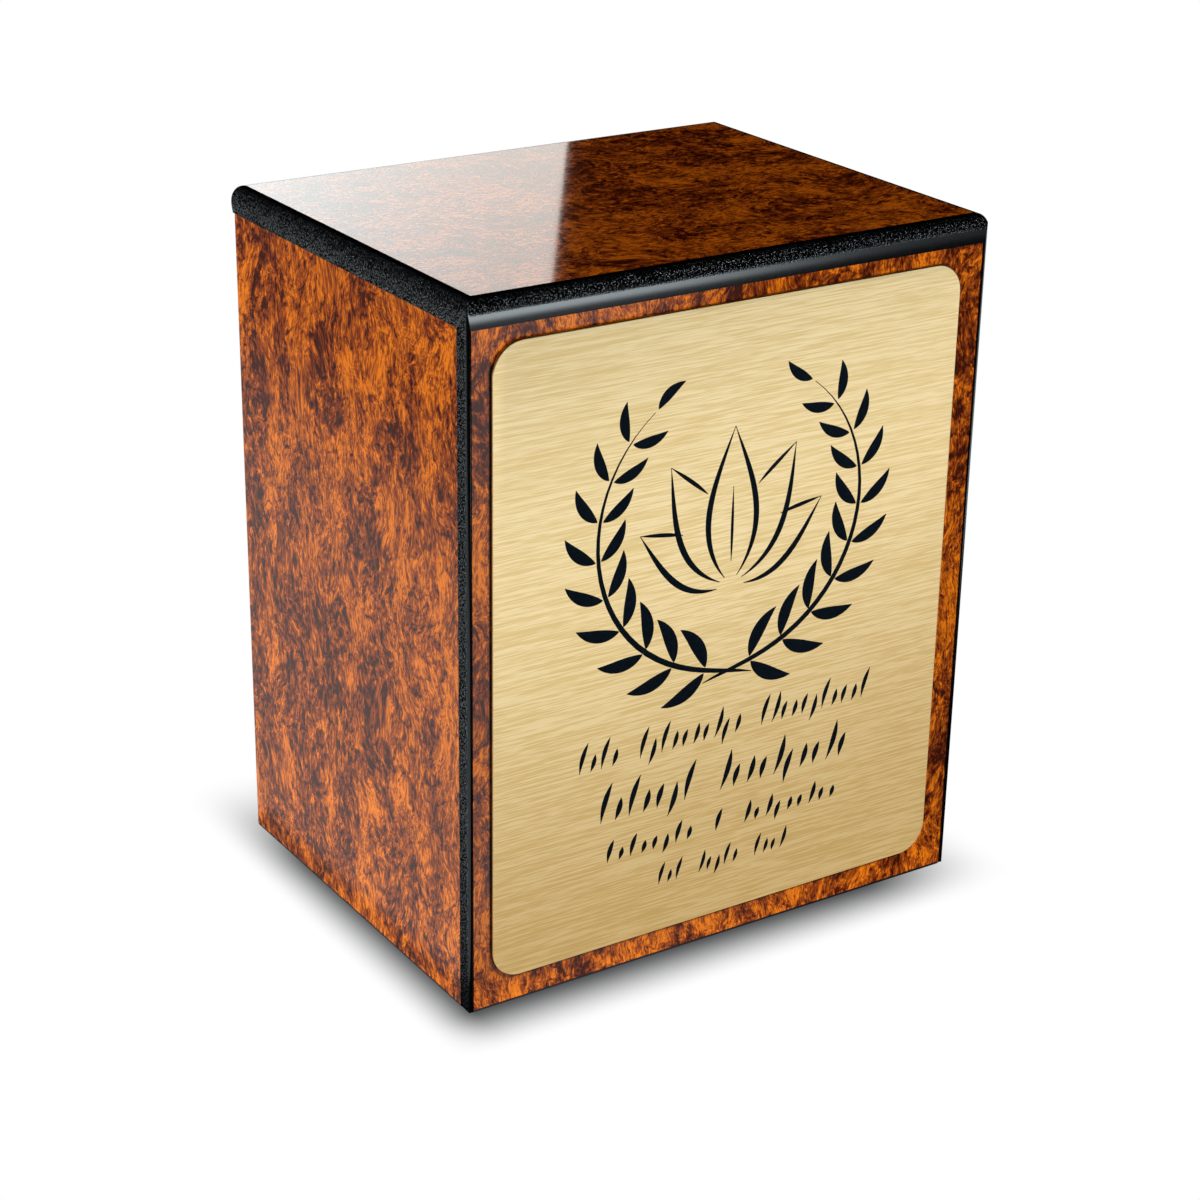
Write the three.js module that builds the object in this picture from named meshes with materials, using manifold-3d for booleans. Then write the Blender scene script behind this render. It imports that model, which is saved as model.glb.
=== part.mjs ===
// A cremation urn box: boards veneered in burl, black edge mouldings and an engraved brass plaque.
// Millimetres, +Z up. The origin is the middle of the underside, and the front faces -Y.
import * as THREE from "three";
import Module from "manifold-3d";

const wasm = await Module();
wasm.setup();

// Boards
const WIDTH = 177.8; // over the mouldings, left to right
const DEPTH = 139.7; // over the mouldings, front to back
const HEIGHT = 215.9;
const WALL = 12.7; // thickness of the four upright boards
const TOP_BOARD = 8.6; // thickness of the top, and height of the mouldings round it
const BASE_BOARD = 6.4;
const BASE_PLAY = 0.3; // gap round the base board, so that it comes out
const FOOT_ROUND = 1.2; // rounding of the lower edges
const BACK_ROUND = 1.4; // rounding of the upright edges at the back

// Mouldings
const CROWN = 0.3; // how far they stand proud of the boards
const LIP = 3.6; // width of a top moulding, seen from above
const LIP_ROUND = 3.2; // rounding of its upper edge
const STRIP_SIDE = 5.1; // width of a corner moulding on the side of the box
const STRIP_FRONT = 1.6; // and on the front
const STRIP_ROUND = 1.3; // rounding of its corner
const STRIP_EASE = 0.25; // rounding of its two other outer edges
const JOINT = 0.3; // open line beside a corner moulding

// Base screws, which run up through the base board into the side boards
const SCREW_Y = 40; // from the middle, front and back
const SCREW_SUNK = 0.25; // head below the underside
const SCREW_HEAD = 2.6; // radius
const SCREW_SHANK = 1.3; // radius
const SCREW_LENGTH = 16;
const SCREW_RIM = 0.3; // straight edge of the head
const SCREW_POINT = 0.3; // radius of the blunt point
const SLOT_WIDTH = 0.7; // the two crossed slots
const SLOT_REACH = 1.6;
const SLOT_DEPTH = 1;

// Plaque
const PLAQUE_WIDTH = 160;
const PLAQUE_HEIGHT = 194;
const PLAQUE_THICK = 1;
const PLAQUE_ROUND = 9.5; // corner radius
const PLAQUE_EASE = 0.2; // bevel of its front edge
const PLAQUE_FOOT = 9.4; // height of its lower edge above the underside
const PLAQUE_SHIFT = -1.2; // fixed by hand, a little left of the middle
const BOND = 0.2; // adhesive behind it
const ENGRAVED = 0.3; // depth of the strokes cut into it

// Pen strokes: half width at the blunt tips, and how fully a stroke swells between them
const TIP = 0.12;
const SWELL = 0.8;

// Design on the plaque, measured from the plaque's middle: a lily between two leafy sprays.
// peak is where along a stroke it is widest, and steps is how many flats it is cut with.
const SPRAY = {
  height: 32, // of the middle of the circle that the stems follow
  radius: 46,
  start: -101, // degrees
  sweep: 154,
  droop: 5, // of the lower end, over a short stretch set by fade
  fade: 12,
  width: 1.8,
  peak: 0.3,
  steps: 20,
};
const LEAF = {
  pairs: 9,
  first: 0.13, // share of the stem before the first pair
  clear: 1.4, // gap between stem and leaf
  lengths: [18, 12.5], // from the first pair to the last leaf
  widths: [4.4, 3.2],
  splay: 42, // degrees from the stem
  bulge: 0.1,
  peak: 0.45,
  steps: 5,
};
// Lean from upright in degrees, and the shares of the length where the outer and the inner edge start
const PETALS = [
  { lean: 0, length: 48, belly: 9, outer: 0.04 },
  { lean: 29, length: 45, belly: 9, outer: 0.06, inner: 0.66 },
  { lean: 57, length: 38, belly: 8, outer: 0.09, inner: 0.64 },
];
const PETAL = { root: 12, skew: 0.8, thin: 0.15, outerWidth: 2, innerWidth: 1.3, peak: 0.45, steps: 9 };
const VEIN = { first: 0.14, last: 0.62, width: 1 };

// Rows of slanted strokes: foot of the row, tallest stroke, half the row's length, strokes in each group
const ROWS = [
  { foot: -37.1, cap: 9.5, half: 53, groups: [4, 10, 11] },
  { foot: -55.1, cap: 12.5, half: 46, groups: [7, 10] },
  { foot: -68.6, cap: 7, half: 43, groups: [8, 1, 9] },
  { foot: -81.1, cap: 7, half: 24, groups: [3, 5, 4] },
];
const ROW = {
  slant: Math.tan(THREE.MathUtils.degToRad(17)),
  space: 1.6, // between groups, in strokes
  rises: [0.66, 0.55, 1, 0.55, 0.6, 0.55, 1, 0.6, 0.55], // heights after a group's first stroke
  dropEvery: 7, // some strokes start below the foot of the row
  dropAt: 5,
  drop: 0.3,
  bulge: 0.05,
  least: 0.25, // stroke width, and what each millimetre between strokes adds to it
  spread: 0.34,
  peak: 0.55,
  steps: 4,
};

// Faces and levels that follow from these
const BOARD_X = WIDTH / 2 - CROWN;
const BOARD_Y = DEPTH / 2 - CROWN;
const INNER_X = BOARD_X - WALL;
const INNER_Y = BOARD_Y - WALL;
const WALL_TOP = HEIGHT - TOP_BOARD;
const SHOULDER_Y = STRIP_SIDE + JOINT - DEPTH / 2; // the side boards butt against the front board's lap here
const LEDGE = -INNER_Y - SHOULDER_Y; // width of the rebate that the base board sits in
const SCREW_X = INNER_X + LEDGE / 2;
const SPARE = 1; // extra length on a blank or a cutter

// Finishes
const FINISHES = {
  burl: { color: 0xb0561c, roughness: 0.12, metalness: 0 },
  lacquer: { color: 0x121315, roughness: 0.35, metalness: 0 },
  brass: { color: 0xd9bf82, roughness: 0.32, metalness: 1 },
  base: { color: 0x1b1a19, roughness: 0.85, metalness: 0 },
  screw: { color: 0x9a9a98, roughness: 0.3, metalness: 1 },
};

// Ways to place an outline point (a, b) at a level h: in plan, seen from the side, seen from the front.
const inPlan = (a, b, h) => [a, b, h];
const fromSide = (a, b, h) => [h, a, b];
const fromFront = (a, b, h) => [a, h, b];

// The same, on the left (side 1) or mirrored to the right (side -1).
const mirrored = (place, side) => (a, b, h) => {
  const [x, y, z] = place(a, b, h);
  return [side * x, y, z];
};

// A solid from points and triangles, turned to face out.
function closedSolid(points, triangles) {
  const vertices = points.map((point) => new THREE.Vector3(...point));
  const cone = ([a, b, c]) => vertices[a].clone().cross(vertices[b]).dot(vertices[c]);
  const inward = triangles.reduce((sum, triangle) => sum + cone(triangle), 0) < 0;
  const facing = inward ? triangles.map(([a, b, c]) => [a, c, b]) : triangles;
  const vertProperties = new Float32Array(points.flat());
  const triVerts = new Uint32Array(facing.flat());
  return new wasm.Manifold(new wasm.Mesh({ numProp: 3, vertProperties, triVerts }));
}

// A solid through rings of points: each ring is joined to the next, and the end rings are filled.
function loft(rings, outline) {
  const count = outline.length;
  const points = rings.flat();
  const last = points.length - count;
  const flat = outline.map(([a, b]) => new THREE.Vector2(a, b));
  const turn = Math.sign(THREE.ShapeUtils.area(flat));
  const triangles = [];
  for (let start = 0; start < last; start += count) {
    for (let i = 0; i < count; i++) {
      const here = start + i;
      const next = start + ((i + 1) % count);
      triangles.push([here, next, next + count], [here, next + count, here + count]);
    }
  }
  for (const face of THREE.ShapeUtils.triangulateShape(flat, [])) {
    const same = Math.sign(THREE.ShapeUtils.area(face.map((i) => flat[i]))) === turn;
    const [a, b, c] = same ? face : [face[0], face[2], face[1]];
    triangles.push([b, a, c], [last + a, last + b, last + c]);
  }
  return closedSolid(points, triangles);
}

// An outline carried straight from one level to another.
function prism(outline, low, high, place) {
  const ring = (level) => outline.map(([a, b]) => place(a, b, level));
  return loft([ring(low), ring(high)], outline);
}

// Points along an arc, with its ends, from one angle in degrees to another.
function arc(a, b, radius, from, to, steps = 6) {
  return Array.from({ length: steps + 1 }, (_, i) => {
    const angle = THREE.MathUtils.degToRad(from + ((to - from) * i) / steps);
    return [a + radius * Math.cos(angle), b + radius * Math.sin(angle)];
  });
}

// A rectangle as an outline. Its corners' radii start at the low corner and go round with the angle.
function rectangle(a0, a1, b0, b1, radii = [0, 0, 0, 0]) {
  const corners = [
    [a0, b0, 1, 1],
    [a1, b0, -1, 1],
    [a1, b1, -1, -1],
    [a0, b1, 1, -1],
  ];
  return corners.flatMap(([a, b, inA, inB], i) => {
    const radius = radii[i];
    const from = 180 + 90 * i;
    return radius === 0 ? [[a, b]] : arc(a + inA * radius, b + inB * radius, radius, from, from + 90);
  });
}

const block = (x0, x1, y0, y1, z0, z1) => prism(rectangle(x0, x1, y0, y1), z0, z1, inPlan);

// A round solid about an upright axis: a profile of [radius, height] turned in steps.
function turned(profile, x, y) {
  const circle = arc(0, 0, 1, 0, 360, 12).slice(0, -1);
  const rings = profile.map(([radius, z]) => circle.map(([a, b]) => [x + radius * a, y + radius * b, z]));
  return loft(rings, circle);
}

// The outside of the boards: square at the front, rounded down the back corners and along the lower edges.
function boardsOutside() {
  const steps = 5;
  const plan = (inset) => {
    const back = BACK_ROUND - inset;
    return rectangle(inset - BOARD_X, BOARD_X - inset, inset - BOARD_Y, BOARD_Y - inset, [0, 0, back, back]);
  };
  const rings = arc(FOOT_ROUND, FOOT_ROUND, FOOT_ROUND, 270, 180, steps).map(([inset, z]) =>
    plan(inset).map(([x, y]) => [x, y, z]),
  );
  rings.push(plan(0).map(([x, y]) => [x, y, HEIGHT]));
  return loft(rings, plan(0));
}

const outside = boardsOutside();
const basePocket = block(
  -INNER_X - LEDGE,
  INNER_X + LEDGE,
  SHOULDER_Y,
  INNER_Y + LEDGE,
  -SPARE,
  BASE_BOARD,
);

// An upright board: its plan, trimmed to the outside and rebated for the base board.
function upright(plan) {
  return prism(plan, -SPARE, WALL_TOP, inPlan).intersect(outside).subtract(basePocket);
}

// The front board laps over the ends of the side boards.
function frontBoard() {
  const lap = WIDTH / 2 - STRIP_FRONT - JOINT;
  const right = [
    [lap, -BOARD_Y - SPARE],
    [lap, SHOULDER_Y],
    [INNER_X, SHOULDER_Y],
    [INNER_X, -INNER_Y],
  ];
  const left = right.map(([x, y]) => [-x, y]).reverse();
  return upright([...right, ...left]);
}

// A side board runs from the front board's lap to a mitre at the back.
function sideBoard(side) {
  const plan = [
    [-BOARD_X - SPARE, SHOULDER_Y],
    [-INNER_X, SHOULDER_Y],
    [-INNER_X, INNER_Y],
    [-BOARD_X - SPARE, BOARD_Y + SPARE],
  ];
  const holes = [-SCREW_Y, SCREW_Y].map((y) => turned(screwProfile(JOINT), -side * SCREW_X, y));
  const board = upright(plan.map(([x, y]) => [side * x, y]));
  return holes.reduce((rest, hole) => rest.subtract(hole), board);
}

// The back board is mitred at both ends.
function backBoard() {
  return upright([
    [-BOARD_X - SPARE, BOARD_Y + SPARE],
    [-INNER_X, INNER_Y],
    [INNER_X, INNER_Y],
    [BOARD_X + SPARE, BOARD_Y + SPARE],
  ]);
}

function topBoard() {
  return block(LIP - WIDTH / 2, WIDTH / 2 - LIP, LIP - DEPTH / 2, DEPTH / 2 - LIP, WALL_TOP, HEIGHT);
}

// The base board fills the rebate, with countersunk holes for its screws.
function baseBoard() {
  const x = INNER_X + LEDGE - BASE_PLAY;
  const board = block(-x, x, SHOULDER_Y + BASE_PLAY, INNER_Y + LEDGE - BASE_PLAY, 0, BASE_BOARD);
  const holes = screwPlaces().map(([sx, sy]) => turned(screwProfile(JOINT), sx, sy));
  return holes.reduce((rest, hole) => rest.subtract(hole), board);
}

const screwPlaces = () => [-1, 1].flatMap((x) => [-1, 1].map((y) => [x * SCREW_X, y * SCREW_Y]));

// A countersunk screw, head down, or with a gap added the hole that it sits in.
function screwProfile(gap) {
  const cone = SCREW_HEAD - SCREW_SHANK;
  const rim = SCREW_SUNK + SCREW_RIM;
  const end = SCREW_SUNK + SCREW_LENGTH;
  return [
    [SCREW_HEAD + gap, gap > 0 ? -SPARE : SCREW_SUNK],
    [SCREW_HEAD + gap, rim],
    [SCREW_SHANK + gap, rim + cone],
    [SCREW_SHANK + gap, end - SCREW_SHANK],
    [SCREW_POINT + gap, end + gap],
  ];
}

function screw() {
  const half = SLOT_WIDTH / 2;
  const floor = SCREW_SUNK + SLOT_DEPTH;
  return turned(screwProfile(0), 0, 0)
    .subtract(block(-SLOT_REACH, SLOT_REACH, -half, half, -SPARE, floor))
    .subtract(block(-half, half, -SLOT_REACH, SLOT_REACH, -SPARE, floor));
}

// Section of a top moulding as [out from the crown, down from the top]: a rounded upper edge, then a face
// that falls back from the crown to the board below it.
function lipSection() {
  const steps = 4;
  const face = Array.from({ length: steps }, (_, i) => {
    const part = (i + 1) / steps;
    return [-CROWN * part ** 2, LIP_ROUND + (TOP_BOARD - LIP_ROUND) * part];
  });
  const upper = arc(-LIP_ROUND, LIP_ROUND, LIP_ROUND, 270, 360, 10);
  return [[-LIP, TOP_BOARD], [-LIP, 0], ...upper, ...face];
}

// A top moulding runs between two corners of the box, each given by its signs, and is mitred at both.
function topMoulding(from, to) {
  const section = lipSection();
  const end = ([signX, signY]) =>
    section.map(([out, down]) => [signX * (WIDTH / 2 + out), signY * (DEPTH / 2 + out), HEIGHT - down]);
  return loft([end(from), end(to)], section);
}

// All that lies under a slope that starts at a top edge of the box and falls by the top's thickness over run.
// face is -WIDTH / 2 or -DEPTH / 2, and raise moves the slope up so that it clears its neighbour.
function underSlope(face, run, raise, low, high, place) {
  const fall = TOP_BOARD / run;
  const lift = raise * Math.hypot(1, fall);
  const outline = [
    [face - SPARE, -SPARE],
    [face + run + SPARE, -SPARE],
    [face + run + SPARE, HEIGHT + lift - fall * (run + SPARE)],
    [face - SPARE, HEIGHT + lift + fall * SPARE],
  ];
  return prism(outline, low, high, place);
}

// The upright post in a front corner, pointed at the top, with its inner faces and slopes moved out by gap.
function cornerPost(side, gap, radii) {
  const x = -WIDTH / 2;
  const y = -DEPTH / 2;
  const inX = x + STRIP_FRONT;
  const inY = y + STRIP_SIDE;
  const plan = rectangle(x - gap, inX + gap, y - gap, inY + gap, radii);
  const onFront = underSlope(x, STRIP_FRONT, gap, y - SPARE, inY + SPARE, mirrored(fromFront, side));
  const onSide = underSlope(y, STRIP_SIDE, gap, x - SPARE, inX + SPARE, mirrored(fromSide, side));
  return prism(plan, -SPARE, HEIGHT + SPARE, mirrored(inPlan, side)).intersect(onFront).intersect(onSide);
}

// The outside of the mouldings: rounded along the top and the lower edges.
function mouldingsOutside() {
  const radii = [FOOT_ROUND, FOOT_ROUND, LIP_ROUND, LIP_ROUND];
  const across = rectangle(-WIDTH / 2, WIDTH / 2, 0, HEIGHT, radii);
  const along = rectangle(-DEPTH / 2, DEPTH / 2, 0, HEIGHT, radii);
  const behind = prism(across, -DEPTH / 2 - SPARE, DEPTH / 2 + SPARE, fromFront);
  return behind.intersect(prism(along, -WIDTH / 2 - SPARE, WIDTH / 2 + SPARE, fromSide));
}

function cornerMoulding(side) {
  return cornerPost(side, 0, [STRIP_ROUND, STRIP_EASE, 0, STRIP_EASE]).intersect(mouldingsOutside());
}

// Direction of a path of [x, z] points at t, from a short step on either side.
function heading(path, t) {
  const step = 1e-3;
  const [fromX, fromZ] = path(Math.max(t - step, 0));
  const [toX, toZ] = path(Math.min(t + step, 1));
  return Math.atan2(toZ - fromZ, toX - fromX);
}

// Outline of a pen stroke along a path. It swells to its full width at peak and tapers to blunt tips.
function stroke(path, width, { peak, steps }) {
  const skew = Math.log(0.5) / Math.log(peak);
  const left = [];
  const right = [];
  for (let i = 0; i <= steps; i++) {
    const t = i / steps;
    const [x, z] = path(t);
    const angle = heading(path, t);
    const full = Math.max(Math.sin(Math.PI * t ** skew), 0) ** SWELL;
    const half = Math.max((width / 2) * full, TIP);
    left.push([x - half * Math.sin(angle), z + half * Math.cos(angle)]);
    right.unshift([x + half * Math.sin(angle), z - half * Math.cos(angle)]);
  }
  return [...left, ...right];
}

// A path from one point to another that bows to its left by bulge times its length.
function bowed([x0, z0], [x1, z1], bulge) {
  return (t) => {
    const rise = 4 * bulge * t * (1 - t);
    return [x0 + (x1 - x0) * t - (z1 - z0) * rise, z0 + (z1 - z0) * t + (x1 - x0) * rise];
  };
}

// A spray: a stem on an arc of a circle that droops where it starts, with leaves in pairs and one at its end.
function sprayStrokes(sign) {
  const stem = (t) => {
    const angle = THREE.MathUtils.degToRad(SPRAY.start + SPRAY.sweep * t);
    const droop = SPRAY.droop * (1 - t) ** SPRAY.fade;
    return [sign * SPRAY.radius * Math.cos(angle), SPRAY.height + SPRAY.radius * Math.sin(angle) - droop];
  };
  const strokes = [stroke(stem, SPRAY.width, SPRAY)];
  for (let i = 0; i <= LEAF.pairs; i++) {
    const along = i / LEAF.pairs;
    const t = LEAF.first + (1 - LEAF.first) * along;
    const [x, z] = stem(t);
    const length = THREE.MathUtils.lerp(...LEAF.lengths, along);
    const width = THREE.MathUtils.lerp(...LEAF.widths, along);
    for (const turn of i < LEAF.pairs ? [1, -1] : [0]) {
      const angle = heading(stem, t) + turn * THREE.MathUtils.degToRad(LEAF.splay);
      const at = (far) => [x + far * Math.cos(angle), z + far * Math.sin(angle)];
      strokes.push(stroke(bowed(at(LEAF.clear), at(length), (turn || 1) * LEAF.bulge), width, LEAF));
    }
  }
  return strokes;
}

// One edge of a petal, from a share of its length to another. It bellies to one side of the middle line.
function petalEdge({ lean, length, belly }, side, first, last, width) {
  const angle = THREE.MathUtils.degToRad(90 - lean);
  const path = (t) => {
    const u = first + (last - first) * t;
    const aside = side * belly * Math.sin(Math.PI * u ** PETAL.skew) * (1 - PETAL.thin * u);
    const along = length * u;
    return [
      along * Math.cos(angle) + aside * Math.sin(angle),
      PETAL.root + along * Math.sin(angle) - aside * Math.cos(angle),
    ];
  };
  return stroke(path, width, PETAL);
}

// A lily of pointed petals. The ones behind show only the part of their inner edge that stands clear.
function lilyStrokes() {
  const strokes = PETALS.flatMap((petal) =>
    [1, -1].flatMap((side) => {
      const leaning = { ...petal, lean: side * petal.lean };
      const outer = petalEdge(leaning, side, petal.outer, 1, PETAL.outerWidth);
      return petal.inner ? [outer, petalEdge(leaning, -side, petal.inner, 1, PETAL.innerWidth)] : [outer];
    }),
  );
  return [...strokes, petalEdge({ ...PETALS[0], belly: 0 }, 1, VEIN.first, VEIN.last, VEIN.width)];
}

// A row of slanted strokes in groups. They are no letters.
function rowStrokes({ foot, cap, half, groups }) {
  const total = groups.reduce((sum, group) => sum + group, ROW.space * (groups.length - 1));
  const pitch = (2 * half) / total;
  const strokes = [];
  let x = pitch / 2 - half;
  for (const group of groups) {
    for (let i = 0; i < group; i++) {
      const k = strokes.length;
      const rise = cap * (i === 0 ? 1 : ROW.rises[k % ROW.rises.length]);
      const drop = k % ROW.dropEvery === ROW.dropAt ? ROW.drop * cap : 0;
      const low = [x - drop * ROW.slant, foot - drop];
      const high = [x + rise * ROW.slant, foot + rise];
      const bulge = k % 2 === 0 ? ROW.bulge : -ROW.bulge;
      strokes.push(stroke(bowed(low, high, bulge), ROW.least + ROW.spread * pitch, ROW));
      x += pitch;
    }
    x += ROW.space * pitch;
  }
  return strokes;
}

// The plaque: a sheet with round corners and a bevelled front edge, with every stroke cut into it.
function plaque() {
  const back = -BOARD_Y - BOND;
  const front = back - PLAQUE_THICK;
  const middle = PLAQUE_FOOT + PLAQUE_HEIGHT / 2;
  const outline = (inset) => {
    const x = PLAQUE_WIDTH / 2 - inset;
    const z = PLAQUE_HEIGHT / 2 - inset;
    const radii = Array(4).fill(PLAQUE_ROUND - inset);
    return rectangle(PLAQUE_SHIFT - x, PLAQUE_SHIFT + x, middle - z, middle + z, radii);
  };
  const ring = (inset, y) => outline(inset).map(([x, z]) => [x, y, z]);
  const sheet = loft([ring(0, back), ring(0, front + PLAQUE_EASE), ring(PLAQUE_EASE, front)], outline(0));
  const strokes = [...sprayStrokes(1), ...sprayStrokes(-1), ...lilyStrokes(), ...ROWS.flatMap(rowStrokes)];
  return strokes.reduce((rest, flat) => {
    const placed = flat.map(([x, z]) => [PLAQUE_SHIFT + x, middle + z]);
    return rest.subtract(prism(placed, front - SPARE, front + ENGRAVED, fromFront));
  }, sheet);
}

// A named mesh with flat faces, in a finish of its own.
function named(name, finish, solid) {
  const { vertProperties, triVerts } = solid.getMesh();
  const indexed = new THREE.BufferGeometry();
  indexed.setAttribute("position", new THREE.BufferAttribute(vertProperties, 3));
  indexed.setIndex(new THREE.BufferAttribute(triVerts, 1));
  const geometry = indexed.toNonIndexed();
  geometry.computeVertexNormals();
  const mesh = new THREE.Mesh(geometry, new THREE.MeshStandardMaterial(FINISHES[finish]));
  mesh.name = name;
  return mesh;
}

// The box of boards
const boards = new THREE.Group();
boards.add(
  named("front_panel", "burl", frontBoard()),
  named("back_panel", "burl", backBoard()),
  named("left_panel", "burl", sideBoard(1)),
  named("right_panel", "burl", sideBoard(-1)),
  named("top_panel", "burl", topBoard()),
  named("base_panel", "base", baseBoard()),
);

// The mouldings, with the top ones cut back round the points of the corner ones
const mouldings = new THREE.Group();
const leftCut = cornerPost(1, JOINT);
const rightCut = cornerPost(-1, JOINT);
mouldings.add(
  named("top_moulding_front", "lacquer", topMoulding([-1, -1], [1, -1]).subtract(leftCut).subtract(rightCut)),
  named("top_moulding_back", "lacquer", topMoulding([1, 1], [-1, 1])),
  named("top_moulding_left", "lacquer", topMoulding([-1, 1], [-1, -1]).subtract(leftCut)),
  named("top_moulding_right", "lacquer", topMoulding([1, -1], [1, 1]).subtract(rightCut)),
  named("corner_moulding_left", "lacquer", cornerMoulding(1)),
  named("corner_moulding_right", "lacquer", cornerMoulding(-1)),
);

// The four base screws
const screws = new THREE.Group();
screwPlaces().forEach(([x, y], i) => {
  const mesh = named(`base_screw_${i + 1}`, "screw", screw());
  mesh.position.set(x, y, 0);
  screws.add(mesh);
});

const urn = new THREE.Group();
urn.add(boards, mouldings, screws, named("plaque", "brass", plaque()));

export default urn;
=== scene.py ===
"""Looks of a cremation urn box: burl veneer, black edge mouldings, an engraved brass plaque and a studio."""
import math

import bpy
import numpy as np
from bpy.props import FloatProperty, FloatVectorProperty, IntProperty, PointerProperty
from mathutils import Matrix, Vector


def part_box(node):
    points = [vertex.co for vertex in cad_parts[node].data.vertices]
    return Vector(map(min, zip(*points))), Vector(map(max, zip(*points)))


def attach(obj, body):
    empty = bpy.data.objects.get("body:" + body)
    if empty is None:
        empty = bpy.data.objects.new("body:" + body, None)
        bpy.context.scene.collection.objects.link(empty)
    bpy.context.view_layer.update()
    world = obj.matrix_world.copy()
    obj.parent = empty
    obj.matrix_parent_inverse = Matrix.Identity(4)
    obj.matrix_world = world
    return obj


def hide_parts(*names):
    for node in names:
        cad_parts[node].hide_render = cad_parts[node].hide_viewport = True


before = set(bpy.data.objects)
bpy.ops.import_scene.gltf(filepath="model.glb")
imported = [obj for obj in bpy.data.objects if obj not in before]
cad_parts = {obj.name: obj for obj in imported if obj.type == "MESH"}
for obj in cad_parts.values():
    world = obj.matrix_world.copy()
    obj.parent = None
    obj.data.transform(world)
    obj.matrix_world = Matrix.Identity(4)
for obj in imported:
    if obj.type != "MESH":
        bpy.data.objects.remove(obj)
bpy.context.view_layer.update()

bl_info = {
    "name": "Cremation Urn Box",
    "version": (1, 0, 0),
    "blender": (4, 5, 0),
    "location": "3D View > Sidebar > Urn",
    "description": "Dresses an urn box in burl veneer, black mouldings and a brushed brass plaque",
    "category": "Object",
}

MM = 0.001
BODY = "root"
BAKE_MAP = "OFBake"
MOTTLE = "Mottle"
MOTTLE_SPAN = (0.3, 0.7)  # where most of the mottle's values lie
COOL = (0.86, 0.96, 1.0)  # colour of the lights on the mouldings
PEBBLED = "pebbled"  # attribute: 1 where a moulding's skin is pebbled, 0 where it is smooth
LACQUER = "pebbled_lacquer"  # material of all mouldings

# Sizes of the box, from the frame
LIP_LOW, LIP_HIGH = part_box("top_moulding_front")
POST_LOW, POST_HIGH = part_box("corner_moulding_left")
PLATE_LOW, PLATE_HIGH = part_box("plaque")
HALF_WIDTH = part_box("top_moulding_right")[1].x
HALF_DEPTH = -LIP_LOW.y
HEIGHT = LIP_HIGH.z
LIP_TALL = LIP_HIGH.z - LIP_LOW.z
LIP_WIDE = LIP_HIGH.y - LIP_LOW.y
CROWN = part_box("front_panel")[0].y - LIP_LOW.y
POST_FRONT = POST_HIGH.x - POST_LOW.x
POST_SIDE = POST_HIGH.y - POST_LOW.y
JOINT = 0.06 * MM  # open line beside a corner moulding
FRONT_PEBBLED = 3.5 * MM  # depth to which the front moulding is pebbled, where the others are all over
FADE_TOP, FADE_LOW, FADE_END = 0.5 * MM, 1.2 * MM, 0.8 * MM  # how the pebbled skin fades at its limits

# Each board's own cut of the veneer: how the sheet is turned, and where in the burl it lies
UPRIGHT = (0.0, 0.0, 0.0)
LYING = (0.0, math.pi / 2, 0.0)
CUTS = {
    "front_panel": (UPRIGHT, (0.280, 0.120, 0.160)),
    "back_panel": (UPRIGHT, (0.620, 0.410, 0.200)),
    "left_panel": (UPRIGHT, (0.050, 0.733, 0.390)),
    "right_panel": (UPRIGHT, (0.910, 0.150, 0.610)),
    "top_panel": (LYING, (0.470, 0.860, 0.130)),
}


# Settings

def size_setting(name, millimetres, description):
    """A length that a user may change, given in millimetres."""
    return FloatProperty(name=name, description=description, default=millimetres * MM, unit="LENGTH")


def colour_setting(name, colour, description):
    """A colour that a user may change."""
    return FloatVectorProperty(name=name, description=description, default=colour, subtype="COLOR")


def angle_setting(name, degrees, description):
    """An angle that a user may change, given in degrees."""
    return FloatProperty(name=name, description=description, default=math.radians(degrees), subtype="ANGLE")


def level_setting(name, level, description):
    """A plain number that a user may change."""
    return FloatProperty(name=name, description=description, default=level)


class UrnVeneerSettings(bpy.types.PropertyGroup):
    """Colours and scale of the burl veneer."""

    eye: colour_setting("Eyes", (0.060, 0.008, 0.002), "Colour of the dark eyes")
    brown: colour_setting("Brown", (0.168, 0.026, 0.003), "Colour round the eyes")
    orange: colour_setting("Orange", (0.370, 0.067, 0.006), "Main colour")
    gold: colour_setting("Gold", (1.000, 0.243, 0.0075), "Brightest figure")
    figure: size_setting("Figure Size", 21, "Size of one swirl of the burl")
    foot_line: size_setting("Foot Line", 1.3, "Height of the black lower edge")


class UrnMouldingSettings(bpy.types.PropertyGroup):
    """Sizes of the black mouldings and of their pebbled skin."""

    lip_round: size_setting("Top Rounding", 3.0, "How far a top moulding rounds in")
    lip_fall: size_setting("Top Fall", 5.2, "How far down that rounding reaches")
    post_round: size_setting("Corner Rounding", 1.3, "Outer edge of a corner moulding")
    post_ease: size_setting("Corner Easing", 0.35, "Its two other edges")
    foot_round: size_setting("Foot Rounding", 1.8, "Lower end of a corner moulding")
    pebble: size_setting("Pebble", 0.9, "Size of one pebble of the skin")
    relief: size_setting("Relief", 0.16, "Depth between the pebbles")
    grain: size_setting("Grain", 0.55, "Size of the finer grains on the pebbles")
    grain_relief: size_setting("Grain Relief", 0.35, "Depth between the grains")
    step: size_setting("Step", 0.22, "Distance between points of the mesh")
    black: colour_setting("Black", (0.0045, 0.005, 0.006), "Colour of the lacquer")
    # Pale flecks on the grains' tops are painted glints
    glint_fleck: colour_setting("Flecks", (0.036, 0.038, 0.040), "Colour of the worn grains")


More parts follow.
